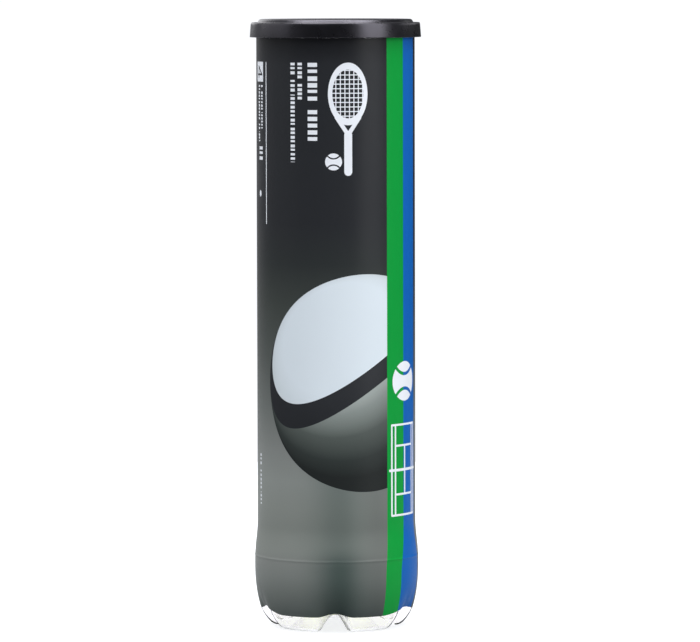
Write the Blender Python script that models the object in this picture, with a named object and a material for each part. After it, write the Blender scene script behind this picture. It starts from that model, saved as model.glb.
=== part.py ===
"""Tennis ball can: a clear moulded can with a film label, an easy-open metal end, a snap lid and four balls.

The can stands on its five feet at z = 0 with its axis on Z and its front towards -Y.
Sizes are in millimetres, and MM turns them into metres where a mesh or an object is made.
Azimuths are in radians, from the front (-Y) towards +X.
"""

import math

import bmesh
import bpy
from mathutils import Matrix, Vector

MM = 0.001
GAP = 0.3  # stands for a touching fit between two pieces

# Clear body: a straight wall over a bulged base with five feet
BODY_SEGMENTS = 50
WALL = 0.8
BODY_RADIUS = 36.4
BULGE_RADIUS = 37.5
BULGE_Z = 29.4
BULGE_END_Z = 50.0
BULGE_LEVELS = (33.6, 37.5, 41.0, 45.0)

# Feet and the valleys between them
FEET = 5
BASE_TURN = math.radians(-3.0)
FOOT_HALF_ANGLE = math.radians(27.0)  # from a valley to where a foot has its full shape
VALLEY_ROUND = 0.14  # how rounded a valley's floor is, as a share of the half angle
FOOT_EASE_POWER = 2.2  # how fully a foot holds its shape towards its edges
FOOT_SIDE_POWER = 1.9
PAD_OUTER_RADIUS = 27.5
PAD_INNER_RADIUS = 24.0
CENTRE_Z = 5.9
VALLEY_POWER = 2.6
VALLEY_SIDE_ANGLE = math.radians(56.0)
LABELLED_RINGS = 5  # on the base's side above the label's lower edge
BARE_RINGS = 2  # from that edge down to the pads
BOTTOM_STEPS = (2.0, 2.3, 2.65)
POLE_STEP = 3.0

# Printed film label
LABEL_THICKNESS = 0.3
LABEL_BOTTOM_Z = 8.0
LABEL_TOP_Z = 275.4

# Double seam, with the body's flange and the sealing compound inside it
ROUND_SEGMENTS = 40
SHEET = 0.4
SEAM_RADIUS = 38.2
SEAM_BOTTOM_Z = 278.3
SEAM_TOP_Z = 281.3
LIP_RADIUS = 36.75
CHUCK_RADIUS = 34.9
RING_BOTTOM_Z = 276.1
APERTURE_RADIUS = 34.0
FLANGE_RADIUS = 37.4
FLANGE_BOTTOM_Z = SEAM_BOTTOM_Z + SHEET + GAP
FLANGE_TOP_Z = 279.6
COMPOUND_HEIGHT = 0.6
COMPOUND_INNER_RADIUS = 35.65

# Tear panel with its rivet, and the pull tab
PANEL_SHEET = 0.5
PANEL_RADIUS = APERTURE_RADIUS - GAP
PANEL_Z = RING_BOTTOM_Z
GROOVE_RADII = (28.0, 32.4)
GROOVE_DEPTH = 0.9
GROOVE_SLOPE = 0.5
RIVET_Y = -25.6
RIVET_STEM_RADIUS = 1.6
RIVET_HEAD_RADIUS = 2.9
RIVET_HEAD_HEIGHT = 0.6
ISLAND_RADIUS = 3.9
ISLAND_HOLE_RADIUS = 1.9
ISLAND_HEIGHT = 0.6
ISLAND_END_Y = -29.8
ISLAND_HALF_WIDTH = 2.6
TAB_LIFT = 0.4  # the tab's underside above the panel
TAB_HEIGHT = 1.0
TAB_NOSE_Y = -32.1
TAB_HINGE_Y = -31.2
TAB_NOSE_RADIUS = 7.2
TAB_RING_Y = -5.6
TAB_RING_RADIUS = 11.0
TAB_CUTOUT_RADIUS = 5.0
FINGER_HOLE_Y = -6.2
FINGER_HOLE_HALF = (7.6, 8.2)

# Snap lid
LID_TOP_Z = 283.9
LID_SHOULDER_Z = 282.8
LID_UNDERSIDE_Z = SEAM_TOP_Z + GAP
LID_BOTTOM_Z = 276.0
LID_DISC_RADIUS = 35.7
LID_DISC_CHAMFER = 0.7
LID_TOP_RADIUS = 39.4
LID_BOTTOM_RADIUS = 39.95
LID_WALL = 0.9
LID_BEAD_RADIUS = SEAM_RADIUS + GAP
LID_BEAD_Z = 277.1

# Balls
BALL_COUNT = 4
BALL_RADIUS = 33.3
BALL_BOTTOM_Z = CENTRE_Z + WALL + GAP
FELT_INNER_RADIUS = 31.0
FELT_ROWS = 18
FELT_COLUMNS = 5
SEAM_A = 0.73
SEAM_B = 1.0 - SEAM_A
SEAM_HALF_WIDTH = 1.0
SEAM_RADII = (30.6, 33.0)
CORE_RADIUS = 29.9
CORE_WALL = 3.3
CORE_SEGMENTS = 16
CORE_OUTER_STEPS = 5
CORE_INNER_STEPS = 4


def point_at(radius, azimuth, z):
    """A point on a circle round the can's axis."""
    return Vector((radius * math.sin(azimuth), -radius * math.cos(azimuth), z))


def material(name, colour, roughness, metallic=0.0, alpha=1.0, transmission=0.0):
    """A plain Principled BSDF material."""
    made = bpy.data.materials.new(name)
    made.use_nodes = True
    shader = made.node_tree.nodes["Principled BSDF"]
    shader.inputs["Base Color"].default_value = (*colour, 1.0)
    shader.inputs["Roughness"].default_value = roughness
    shader.inputs["Metallic"].default_value = metallic
    shader.inputs["Alpha"].default_value = alpha
    shader.inputs["Transmission Weight"].default_value = transmission
    made.diffuse_color = (*colour, alpha)
    return made


def add_object(name, mesh, finish, parent=None):
    """Links a new object with its material to the scene."""
    made = bpy.data.objects.new(name, mesh)
    if not mesh.materials:
        mesh.materials.append(finish)
    made.parent = parent
    bpy.context.collection.objects.link(made)
    return made


def mesh_from(name, points, faces, smooth_angle=35.0):
    """A mesh from millimetre points, its faces turned outwards, smooth but for sharp edges."""
    mesh = bpy.data.meshes.new(name)
    mesh.from_pydata([tuple(Vector(p) * MM) for p in points], [], faces)
    shape = bmesh.new()
    shape.from_mesh(mesh)
    bmesh.ops.recalc_face_normals(shape, faces=shape.faces)
    shape.to_mesh(mesh)
    shape.free()
    mesh.shade_smooth()
    mesh.set_sharp_from_angle(angle=math.radians(smooth_angle))
    return mesh


def skinned(name, rings, closed=False):
    """A mesh over a list of rings: each is a list of points, or one point where the shape meets its axis.

    Each four-sided gap is split along its shorter diagonal, so that nested skins bend along the same lines.
    """
    points, starts, faces = [], [], []
    for ring in rings:
        starts.append(len(points))
        points.extend(ring)
    pairs = list(zip(range(len(rings)), range(1, len(rings))))
    if closed:
        pairs.append((len(rings) - 1, 0))
    for low, high in pairs:
        count = max(len(rings[low]), len(rings[high]))
        for i in range(count):
            j = (i + 1) % count
            a, b = starts[low] + i, starts[low] + j
            c, d = starts[high] + j, starts[high] + i
            if len(rings[low]) == 1:
                faces.append((starts[low], c, d))
            elif len(rings[high]) == 1:
                faces.append((a, b, starts[high]))
            elif (points[a] - points[c]).length <= (points[b] - points[d]).length + 1e-6:
                faces += [(a, b, c), (a, c, d)]
            else:
                faces += [(a, b, d), (b, c, d)]
    return mesh_from(name, points, faces)


def turned(name, profile, finish, closed=True, segments=ROUND_SEGMENTS, parent=None):
    """An object turned round Z from (radius, z) points that run down the outer side, top to bottom."""
    mesh = bpy.data.meshes.new(name)
    count = len(profile)
    edges = [(i, i + 1) for i in range(count - 1)]
    if closed:
        edges.append((count - 1, 0))
    mesh.from_pydata([(r * MM, 0.0, z * MM) for r, z in profile], edges, [])
    made = add_object(name, mesh, finish, parent)
    screw = made.modifiers.new("turning", "SCREW")
    screw.steps = segments
    screw.render_steps = segments
    screw.use_merge_vertices = True
    screw.merge_threshold = 1e-5
    screw.use_smooth_shade = False
    return made


def prism(name, outline, low, high, finish, parent=None):
    """An upright solid over a closed outline of (x, y) points."""
    count = len(outline)
    points = [(x, y, low) for x, y in outline] + [(x, y, high) for x, y in outline]
    faces = [tuple(range(count)), tuple(range(count, 2 * count))]
    faces += [(i, (i + 1) % count, count + (i + 1) % count, count + i) for i in range(count)]
    return add_object(name, mesh_from(name, points, faces, 20.0), finish, parent)


def round_outline(centre, half, start=0.0, end=2 * math.pi, steps=24):
    """Points along an ellipse or a stretch of one; a whole one leaves out its repeated last point."""
    count = steps if end - start >= 2 * math.pi else steps + 1
    turns = (start + (end - start) * i / steps for i in range(count))
    return [(centre[0] + half[0] * math.cos(t), centre[1] + half[1] * math.sin(t)) for t in turns]


def boolean(target, cutter, operation):
    """Joins or cuts a target with a hidden helper solid."""
    cutter.hide_render = True
    cutter.display_type = "WIRE"
    modifier = target.modifiers.new(cutter.name, "BOOLEAN")
    modifier.operation = operation
    modifier.solver = "EXACT"
    modifier.object = cutter


# Body and label


def body_azimuths():
    """Azimuths of the body's corners, one of which lies on each valley and each foot."""
    return [BASE_TURN + 2 * math.pi * i / BODY_SEGMENTS for i in range(BODY_SEGMENTS)]


def wall_radius(z):
    """The body's outer radius above its bulge, easing from the bulge into the straight wall."""
    if z >= BULGE_END_Z:
        return BODY_RADIUS
    way = (z - BULGE_Z) / (BULGE_END_Z - BULGE_Z)
    return BODY_RADIUS + (BULGE_RADIUS - BODY_RADIUS) * 0.5 * (1 + math.cos(math.pi * way**1.2))


def foot_share(azimuth):
    """0 in a valley, 1 on a foot, with a rounded valley floor between."""
    pitch = 2 * math.pi / FEET
    off = abs((azimuth - BASE_TURN + pitch / 2) % pitch - pitch / 2)
    way = min(1.0, off / FOOT_HALF_ANGLE)
    soft = (math.hypot(way, VALLEY_ROUND) - VALLEY_ROUND) / (math.hypot(1.0, VALLEY_ROUND) - VALLEY_ROUND)
    return 1 - (1 - soft) ** FOOT_EASE_POWER


def foot_line(step):
    """(radius, z) down the middle of a foot: 0 to 1 is its side, 1 to 2 its pad, 2 to 3 its inner rise."""
    if step <= 1:
        angle = step * math.pi / 2
        power = 2 / FOOT_SIDE_POWER
        radius = PAD_OUTER_RADIUS + (BULGE_RADIUS - PAD_OUTER_RADIUS) * max(0.0, math.cos(angle)) ** power
        return radius, BULGE_Z * (1 - math.sin(angle) ** power)
    if step <= 2:
        return PAD_OUTER_RADIUS + (PAD_INNER_RADIUS - PAD_OUTER_RADIUS) * (step - 1), 0.0
    way = 3 - step
    return PAD_INNER_RADIUS * way, CENTRE_Z * (1 - way**4) ** 1.3


def valley_line(step):
    """(radius, z) down the middle of a valley, in step with foot_line."""
    drop = BULGE_Z - CENTRE_Z
    if step <= 1:
        radius = BULGE_RADIUS * math.cos(step * VALLEY_SIDE_ANGLE) ** (2 / VALLEY_POWER)
    else:
        inner = BULGE_RADIUS * math.cos(VALLEY_SIDE_ANGLE) ** (2 / VALLEY_POWER)
        radius = inner * foot_line(step)[0] / PAD_OUTER_RADIUS
    return radius, BULGE_Z - drop * (1 - (radius / BULGE_RADIUS) ** VALLEY_POWER) ** (1 / VALLEY_POWER)


def base_surface(step, azimuth):
    """A point of the base's outer surface."""
    share = foot_share(azimuth)
    foot, valley = foot_line(step), valley_line(step)
    radius = valley[0] + (foot[0] - valley[0]) * share
    return point_at(radius, azimuth, valley[1] + (foot[1] - valley[1]) * share)


def base_point(step, azimuth, offset=0.0):
    """A point of the base, moved out of the surface by offset."""
    here = base_surface(step, azimuth)
    if offset == 0.0:
        return here
    small = 1e-3
    along = base_surface(min(step + small, POLE_STEP), azimuth) - base_surface(max(step - small, 0.0), azimuth)
    around = base_surface(step, azimuth + small) - base_surface(step, azimuth - small)
    return here + along.cross(around).normalized() * offset


def step_at_label_edge(azimuth):
    """The base step at which the label's outer face comes down to its level lower edge."""
    low, high = 0.0, 1.0
    for _ in range(40):
        middle = (low + high) / 2
        if base_point(middle, azimuth, GAP + LABEL_THICKNESS).z > LABEL_BOTTOM_Z:
            low = middle
        else:
            high = middle
    return (low + high) / 2


def base_ring(step, offset=0.0):
    """A ring of the base at one step all the way round."""
    return [base_point(step, azimuth, offset) for azimuth in body_azimuths()]


def labelled_rings(offset):
    """Rings of the base's side from the bulge down to the label's lower edge."""
    ends = [(azimuth, step_at_label_edge(azimuth)) for azimuth in body_azimuths()]
    ways = [ring / LABELLED_RINGS for ring in range(LABELLED_RINGS + 1)]
    return [[base_point(end * way, azimuth, offset) for azimuth, end in ends] for way in ways]


def bare_rings(offset):
    """Rings of the base below the label, down a foot's side and over its pad towards the centre."""
    ends = [(azimuth, step_at_label_edge(azimuth)) for azimuth in body_azimuths()]
    ways = [(ring + 1) / BARE_RINGS for ring in range(BARE_RINGS)]
    rings = [[base_point(end + (1 - end) * way, azimuth, offset) for azimuth, end in ends] for way in ways]
    return rings + [base_ring(step, offset) for step in BOTTOM_STEPS]


def wall_ring(radius, z):
    return [point_at(radius, azimuth, z) for azimuth in body_azimuths()]


def add_can_body():
    """The clear can: lobed base, wall and top flange, hollow and open at the mouth."""
    finish = material("clear_plastic", (0.86, 0.89, 0.90), 0.08, alpha=0.3, transmission=1.0)
    levels = (*BULGE_LEVELS, BULGE_END_Z)
    inner_radius = BODY_RADIUS - WALL
    rings = [[Vector((0, 0, CENTRE_Z))]]
    rings += reversed(labelled_rings(0.0) + bare_rings(0.0))
    rings += [wall_ring(wall_radius(z), z) for z in levels]
    rings += [wall_ring(BODY_RADIUS, FLANGE_BOTTOM_Z), wall_ring(FLANGE_RADIUS, FLANGE_BOTTOM_Z)]
    rings += [wall_ring(FLANGE_RADIUS, FLANGE_TOP_Z), wall_ring(inner_radius, FLANGE_TOP_Z)]
    rings += [wall_ring(wall_radius(z) - WALL, z) for z in reversed(levels)]
    rings += labelled_rings(-WALL) + bare_rings(-WALL)
    rings += [[Vector((0, 0, CENTRE_Z + WALL))]]
    add_object("can_body", skinned("can_body", rings), finish)


def label_face(offset):
    """Rings of one face of the label, from its lower edge to its top edge."""
    rings = list(reversed(labelled_rings(offset)))
    rings += [wall_ring(wall_radius(z) + offset, z) for z in (*BULGE_LEVELS, BULGE_END_Z)]
    return rings + [wall_ring(BODY_RADIUS + offset, LABEL_TOP_Z)]


def add_label():
    finish = material("printed_film", (0.09, 0.10, 0.10), 0.35)
    rings = label_face(GAP + LABEL_THICKNESS) + list(reversed(label_face(GAP)))
    add_object("label_sleeve", skinned("label_sleeve", rings, closed=True), finish)


# Easy-open end


def add_end_ring(metal):
    """The ring that stays seamed on the can: seam, chuck wall and the edge left round the opening."""
    top_inside = SEAM_TOP_Z - SHEET
    profile = [
        (SEAM_RADIUS - 0.3, SEAM_TOP_Z),
        (SEAM_RADIUS, SEAM_TOP_Z - 0.4),
        (SEAM_RADIUS, SEAM_BOTTOM_Z + 0.3),
        (SEAM_RADIUS - 0.2, SEAM_BOTTOM_Z),
        (LIP_RADIUS, SEAM_BOTTOM_Z),
        (LIP_RADIUS, SEAM_BOTTOM_Z + SHEET),
        (SEAM_RADIUS - SHEET, SEAM_BOTTOM_Z + SHEET),
        (SEAM_RADIUS - SHEET, top_inside),
        (CHUCK_RADIUS + SHEET, top_inside),
        (CHUCK_RADIUS + SHEET, RING_BOTTOM_Z),
        (APERTURE_RADIUS, RING_BOTTOM_Z),
        (APERTURE_RADIUS, RING_BOTTOM_Z + SHEET),
        (CHUCK_RADIUS, RING_BOTTOM_Z + SHEET),
        (CHUCK_RADIUS, SEAM_TOP_Z - 0.3),
        (CHUCK_RADIUS + 0.3, SEAM_TOP_Z),
    ]
    turned("end_ring", profile, metal)


def add_seam_compound():
    """The rubbery sealing compound between the body's flange and the seam's top."""
    finish = material("sealing_compound", (0.55, 0.50, 0.42), 0.8)
    low = FLANGE_TOP_Z + GAP
    high = low + COMPOUND_HEIGHT
    profile = [
        (FLANGE_RADIUS, high),
        (FLANGE_RADIUS, low),
        (COMPOUND_INNER_RADIUS, low),
        (COMPOUND_INNER_RADIUS, high),
    ]
    turned("seam_compound", profile, finish)


def add_tear_panel(metal):
    """The panel that peels away, with a sunk ring for stiffness and the rivet drawn up from it."""
    top = PANEL_Z + PANEL_SHEET
    inner, outer = GROOVE_RADII
    step = GROOVE_SLOPE
    line = [
        (PANEL_RADIUS, 0.0),
        (outer, 0.0),
        (outer - step, -GROOVE_DEPTH),
        (inner + step, -GROOVE_DEPTH),
        (inner, 0.0),
    ]
    upper = [(radius, top + rise) for radius, rise in line]
    lower = [(radius, PANEL_Z + rise) for radius, rise in line]
    profile = [(0.0, top), *reversed(upper), *lower, (0.0, PANEL_Z)]
    panel = turned("tear_panel", profile, metal, closed=False)
    stem_top = top + TAB_LIFT + ISLAND_HEIGHT + GAP
    rivet = turned(
        "rivet_shape",
        [
            (0.0, stem_top + RIVET_HEAD_HEIGHT),
            (RIVET_HEAD_RADIUS - 0.4, stem_top + RIVET_HEAD_HEIGHT),
            (RIVET_HEAD_RADIUS, stem_top + 0.2),
            (RIVET_HEAD_RADIUS, stem_top),
            (RIVET_STEM_RADIUS, stem_top),
            (RIVET_STEM_RADIUS, PANEL_Z + PANEL_SHEET / 2),
            (0.0, PANEL_Z + PANEL_SHEET / 2),
        ],
        metal,
        closed=False,
        segments=16,
    )
    rivet.location = (0.0, RIVET_Y * MM, 0.0)
    boolean(panel, rivet, "UNION")


def add_tab_island(metal):
    """The tab's own tongue, held flat by the rivet, on which the rest of the tab bends up."""
    low = PANEL_Z + PANEL_SHEET + TAB_LIFT
    start = math.asin(ISLAND_HALF_WIDTH / ISLAND_RADIUS)
    disc = round_outline((0, RIVET_Y), (ISLAND_RADIUS,) * 2, start - math.pi / 2, 1.5 * math.pi - start, 20)
    tongue = [(-ISLAND_HALF_WIDTH, ISLAND_END_Y), (ISLAND_HALF_WIDTH, ISLAND_END_Y)]
    island = prism("tab_island", disc + tongue, low, low + ISLAND_HEIGHT, metal)
    hole = round_outline((0, RIVET_Y), (ISLAND_HOLE_RADIUS,) * 2, steps=16)
    boolean(island, prism("island_hole", hole, low - 1, low + 2, metal), "DIFFERENCE")


def add_pull_tab(metal):
    """The ring tab, its origin on the line where it bends from its tongue."""
    low = PANEL_Z + PANEL_SHEET + TAB_LIFT
    hinge = Vector((0, TAB_HINGE_Y, low + TAB_HEIGHT / 2))
    holder = bpy.data.objects.new("tab_hinge_line", None)
    holder.location = hinge * MM
    bpy.context.collection.objects.link(holder)
    ring = round_outline((0, TAB_RING_Y), (TAB_RING_RADIUS,) * 2, 0.0, math.pi, 14)
    side_y = RIVET_Y + 0.5
    nose_half = TAB_NOSE_RADIUS * 0.62
    corner = round_outline((-TAB_NOSE_RADIUS + 3.6, TAB_NOSE_Y + 3.6), (3.6, 3.6), math.pi, 1.5 * math.pi, 5)
    left = [(-TAB_NOSE_RADIUS, side_y)] + corner
    right = [(-x, y) for x, y in reversed(left)]
    outline = ring + left + [(0.0, TAB_NOSE_Y)] + right
    cutouts = {
        "finger_hole": round_outline((0, FINGER_HOLE_Y), FINGER_HOLE_HALF),
        "rivet_cutout": round_outline((0, RIVET_Y), (TAB_CUTOUT_RADIUS,) * 2),
    }
    half = TAB_HEIGHT / 2
    tab = prism("pull_tab", [(x, y - hinge.y) for x, y in outline], -half, half, metal, holder)
    for name, hole in cutouts.items():
        cutter = prism(name, [(x, y - hinge.y) for x, y in hole], -2 * half, 2 * half, metal, holder)
        boolean(tab, cutter, "DIFFERENCE")


# Lid


def add_lid():
    """The snap lid: raised disc, shoulder, tapered skirt and the bead that grips under the seam."""
    finish = material("black_plastic", (0.018, 0.019, 0.022), 0.38)
    disc_inside = LID_DISC_RADIUS - 1.0
    profile = [
        (0.0, LID_TOP_Z),
        (LID_DISC_RADIUS - LID_DISC_CHAMFER, LID_TOP_Z),
        (LID_DISC_RADIUS, LID_SHOULDER_Z),
        (LID_TOP_RADIUS - 0.7, LID_SHOULDER_Z),
        (LID_TOP_RADIUS, LID_SHOULDER_Z - 0.7),
        (LID_BOTTOM_RADIUS, LID_BOTTOM_Z + 0.3),
        (LID_BOTTOM_RADIUS - 0.2, LID_BOTTOM_Z),
        (LID_BOTTOM_RADIUS - LID_WALL, LID_BOTTOM_Z),
        (LID_BEAD_RADIUS, LID_BEAD_Z - 0.4),
        (LID_BEAD_RADIUS, LID_BEAD_Z),
        (LID_BOTTOM_RADIUS - LID_WALL - 0.2, LID_BEAD_Z + 0.6),
        (LID_TOP_RADIUS - LID_WALL, LID_UNDERSIDE_Z - 0.2),
        (LID_TOP_RADIUS - LID_WALL - 0.4, LID_UNDERSIDE_Z),
        (disc_inside, LID_UNDERSIDE_Z),
        (disc_inside, LID_TOP_Z - 1.1),
        (0.0, LID_TOP_Z - 1.1),
    ]
    turned("lid", profile, finish, closed=False)


# Balls


def seam_point(turn, offset=0.0):
    """Unit vector on the ball's seam curve, moved sideways by an arc of offset over the ball's radius."""
    rise = 2 * math.sqrt(SEAM_A * SEAM_B)
    here = Vector(
        (
            SEAM_A * math.cos(turn) + SEAM_B * math.cos(3 * turn),
            SEAM_A * math.sin(turn) - SEAM_B * math.sin(3 * turn),
            rise * math.sin(2 * turn),
        )
    )
    along = Vector(
        (
            -SEAM_A * math.sin(turn) - 3 * SEAM_B * math.sin(3 * turn),
            SEAM_A * math.cos(turn) - 3 * SEAM_B * math.cos(3 * turn),
            2 * rise * math.cos(2 * turn),
        )
    )
    side = here.cross(along).normalized()
    angle = offset / BALL_RADIUS
    return here * math.cos(angle) + side * math.sin(angle)


def felt_rows():
    """Unit vectors over one felt panel: rows between mirrored seam points, one point at each tip."""
    rows = []
    for row in range(FELT_ROWS + 1):
        turn = -math.pi / 4 + math.pi * row / FELT_ROWS
        start = seam_point(turn, SEAM_HALF_WIDTH + GAP)
        end = Vector((-start.y, -start.x, start.z))
        if row in (0, FELT_ROWS):
            rows.append([start])
        else:
            rows.append([start.slerp(end, i / FELT_COLUMNS) for i in range(FELT_COLUMNS + 1)])
    return rows


def felt_mesh():
    """One dog-bone felt panel: an outer and an inner sheet joined along their rim."""
    rows = felt_rows()
    flat = [point for row in rows for point in row]
    starts = [sum(len(row) for row in rows[:i]) for i in range(len(rows))]
    points = [p * BALL_RADIUS for p in flat] + [p * FELT_INNER_RADIUS for p in flat]
    sheet = []
    for low, high in zip(range(FELT_ROWS), range(1, FELT_ROWS + 1)):
        for i in range(FELT_COLUMNS):
            a, b = starts[low] + i, starts[low] + i + 1
            c, d = starts[high] + i + 1, starts[high] + i
            if len(rows[low]) == 1:
                sheet.append((starts[low], c, d))
            elif len(rows[high]) == 1:
                sheet.append((a, b, starts[high]))
            else:
                sheet.append((a, b, c, d))
    inner = len(flat)
    faces = sheet + [tuple(inner + i for i in reversed(face)) for face in sheet]
    far_ends = [start + len(row) - 1 for start, row in zip(starts, rows)]
    rim = starts + list(reversed(far_ends[1:-1]))
    for i, here in enumerate(rim):
        there = rim[(i + 1) % len(rim)]
        faces.append((here, there, inner + there, inner + here))
    return mesh_from("felt_panel", points, faces, 60.0)


def seam_mesh():
    """The raised bead of seam cement between the two felt panels, a closed loop."""
    inner, outer = SEAM_RADII
    corners = [(inner, -1), (outer, -1), (outer, 1), (inner, 1)]
    count = 2 * FELT_ROWS
    rings = []
    for i in range(count):
        turn = -math.pi / 4 + 2 * math.pi * i / count
        rings.append([seam_point(turn, side * SEAM_HALF_WIDTH) * radius for radius, side in corners])
    return skinned("ball_seam", rings, closed=True)


def core_profile():
    """Half of the hollow rubber core, clear of the other half by GAP at the equator."""
    middle = GAP / 2

    def arc(radius, steps):
        last = math.acos(middle / radius)
        turns = (last * i / steps for i in range(steps + 1))
        return [(radius * math.sin(t), radius * math.cos(t)) for t in turns]

    outer = arc(CORE_RADIUS, CORE_OUTER_STEPS)
    inner = arc(CORE_RADIUS - CORE_WALL, CORE_INNER_STEPS)
    return outer + list(reversed(inner))


def add_ball(number, felt, seam, finishes):
    """One ball on an empty at its centre, each ball turned its own way."""
    name = f"ball_{number}"
    centre = BALL_BOTTOM_Z + BALL_RADIUS + (number - 1) * (2 * BALL_RADIUS + GAP)
    holder = bpy.data.objects.new(f"{name}_centre", None)
    holder.location = (0.0, 0.0, centre * MM)
    holder.rotation_euler = (0.6 * number, 0.9 * number - 0.5, 1.3 * number)
    bpy.context.collection.objects.link(holder)
    for half, turn in (("a", 0.0), ("b", math.pi)):
        core = turned(
            f"{name}_core_half_{half}",
            core_profile(),
            finishes["rubber"],
            closed=False,
            segments=CORE_SEGMENTS,
            parent=holder,
        )
        core.rotation_euler = (turn, 0.0, 0.0)
        panel = add_object(f"{name}_felt_panel_{half}", felt, finishes["felt"], holder)
        panel.rotation_euler = (turn, 0.0, 0.0)
    add_object(f"{name}_seam", seam, finishes["cement"], holder)


def add_balls():
    finishes = {
        "rubber": material("core_rubber", (0.10, 0.10, 0.11), 0.8),
        "felt": material("yellow_felt", (0.62, 0.80, 0.06), 0.95),
        "cement": material("seam_cement", (0.85, 0.86, 0.80), 0.7),
    }
    felt, seam = felt_mesh(), seam_mesh()
    for number in range(1, BALL_COUNT + 1):
        add_ball(number, felt, seam, finishes)


def main():
    for item in list(bpy.data.objects):
        bpy.data.objects.remove(item)
    metal = material("end_metal", (0.80, 0.81, 0.83), 0.3, metallic=1.0)
    add_can_body()
    add_label()
    add_end_ring(metal)
    add_seam_compound()
    add_tear_panel(metal)
    add_tab_island(metal)
    add_pull_tab(metal)
    add_lid()
    add_balls()


main()
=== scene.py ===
"""Looks of a clear can of four tennis balls, with a printed film label, an easy-open end and a snap lid.

The fixed model gives where each piece is; the classes here give it its fine shape and its finish.
Sizes are in millimetres, and MM turns them into metres where a mesh or an object is made.
Azimuths are in radians, from the front (-Y) towards +X. "Arc" is millimetres round the label from its front.
"""

from __future__ import annotations

import logging
import math
import random
from dataclasses import dataclass, field
from enum import Enum
from typing import Any, Callable, Iterable, Sequence

import bmesh
import bpy
from mathutils import Euler, Matrix, Vector, noise

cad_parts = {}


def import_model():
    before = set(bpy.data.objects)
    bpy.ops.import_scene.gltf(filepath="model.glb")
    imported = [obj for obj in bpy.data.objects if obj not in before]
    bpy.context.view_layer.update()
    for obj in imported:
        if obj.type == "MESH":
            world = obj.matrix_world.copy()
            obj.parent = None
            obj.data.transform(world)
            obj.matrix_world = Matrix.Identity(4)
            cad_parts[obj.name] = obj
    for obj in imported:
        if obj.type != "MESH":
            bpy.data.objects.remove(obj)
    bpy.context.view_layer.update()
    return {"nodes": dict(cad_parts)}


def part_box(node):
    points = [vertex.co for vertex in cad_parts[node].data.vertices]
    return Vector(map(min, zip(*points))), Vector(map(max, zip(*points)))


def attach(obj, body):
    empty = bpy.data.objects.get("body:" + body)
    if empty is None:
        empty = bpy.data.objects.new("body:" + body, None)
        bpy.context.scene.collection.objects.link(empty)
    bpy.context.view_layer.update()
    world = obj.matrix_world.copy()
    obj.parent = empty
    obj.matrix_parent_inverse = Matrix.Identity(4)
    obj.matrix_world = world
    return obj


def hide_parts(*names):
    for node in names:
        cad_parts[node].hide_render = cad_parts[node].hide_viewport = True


MM = 0.001
LOG = logging.getLogger("tennis_ball_can")
Point2 = tuple[float, float]


# Shared helpers


def linear(hex_colour: str) -> tuple[float, float, float, float]:
    """Turns an sRGB hex colour into linear RGBA.

    Args:
        hex_colour: six hex digits with a leading hash.

    Returns:
        Linear red, green and blue, with alpha 1.
    """
    channels = (int(hex_colour[i : i + 2], 16) / 255 for i in (1, 3, 5))
    red, green, blue = (c / 12.92 if c <= 0.04045 else ((c + 0.055) / 1.055) ** 2.4 for c in channels)
    return red, green, blue, 1.0


def add(tree: bpy.types.NodeTree, kind: str, *inputs: Any, named: dict | None = None, **settings: Any) -> Any:
    """Adds a node with its settings and links.

    Args:
        tree: node tree to add to.
        kind: node type, less its "ShaderNode" prefix.
        inputs: values, sockets or nodes for the first input sockets; None leaves one alone.
        named: the same by socket name or index.
        settings: properties set on the node.

    Returns:
        The new node. As an input, a node stands for its first output in use.
    """
    node = tree.nodes.new("ShaderNode" + kind)
    for name, value in settings.items():
        setattr(node, name, value)
    feed(tree, node, {**dict(enumerate(inputs)), **(named or {})})
    return node


def feed(tree: bpy.types.NodeTree, node: bpy.types.Node, sockets: dict) -> None:
    """Gives a node's input sockets their values or links.

    Args:
        tree: the node's tree.
        node: the node to feed.
        sockets: values, sockets or nodes by socket name or index; None leaves one alone.
    """
    for key, value in sockets.items():
        if isinstance(value, bpy.types.Node):
            value = next(s for s in value.outputs if s.enabled)
        if isinstance(value, bpy.types.NodeSocket):
            tree.links.new(value, node.inputs[key])
        elif value is not None:
            node.inputs[key].default_value = value


def new_material(name: str) -> tuple[bpy.types.Material, bpy.types.NodeTree]:
    """Makes a material, and returns it and its node tree, which holds one Principled shader."""
    made = bpy.data.materials.new(name)
    made.use_nodes = True
    return made, made.node_tree


def dress(tree: bpy.types.NodeTree, **sockets: Any) -> Any:
    """Feeds a material's Principled shader.

    Args:
        tree: the material's tree.
        sockets: values, sockets or nodes by socket name, with underscores for its spaces.

    Returns:
        The shader.
    """
    shader = tree.nodes["Principled BSDF"]
    feed(tree, shader, {name.replace("_", " "): value for name, value in sockets.items()})
    return shader


def grey(level: float) -> str:
    """Returns the hex grey whose linear value is level."""
    encoded = level * 12.92 if level <= 0.0031308 else 1.055 * level ** (1 / 2.4) - 0.055
    return f"#{round(encoded * 255):02x}" + f"{round(encoded * 255):02x}" * 2


def fill_ramp(ramp: bpy.types.ColorRamp, stops: Sequence[tuple[float, str]]) -> None:
    """Sets a colour ramp's stops from (place, hex colour) pairs in rising order."""
    while len(ramp.elements) < len(stops):
        ramp.elements.new(1.0)
    for i, (spot, _) in enumerate(stops):
        ramp.elements[i].position = spot
    for i, (_, colour) in enumerate(stops):
        ramp.elements[i].color = linear(colour)


def cells(size_mm: float) -> float:
    """Returns the texture scale at which one cell is size_mm across."""
    return 1 / (size_mm * MM)


def smooth_step(value: float, low: float, high: float) -> float:
    """Eases from 0 at low to 1 at high."""
    way = min(1.0, max(0.0, (value - low) / (high - low)))
    return way * way * (3 - 2 * way)


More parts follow.
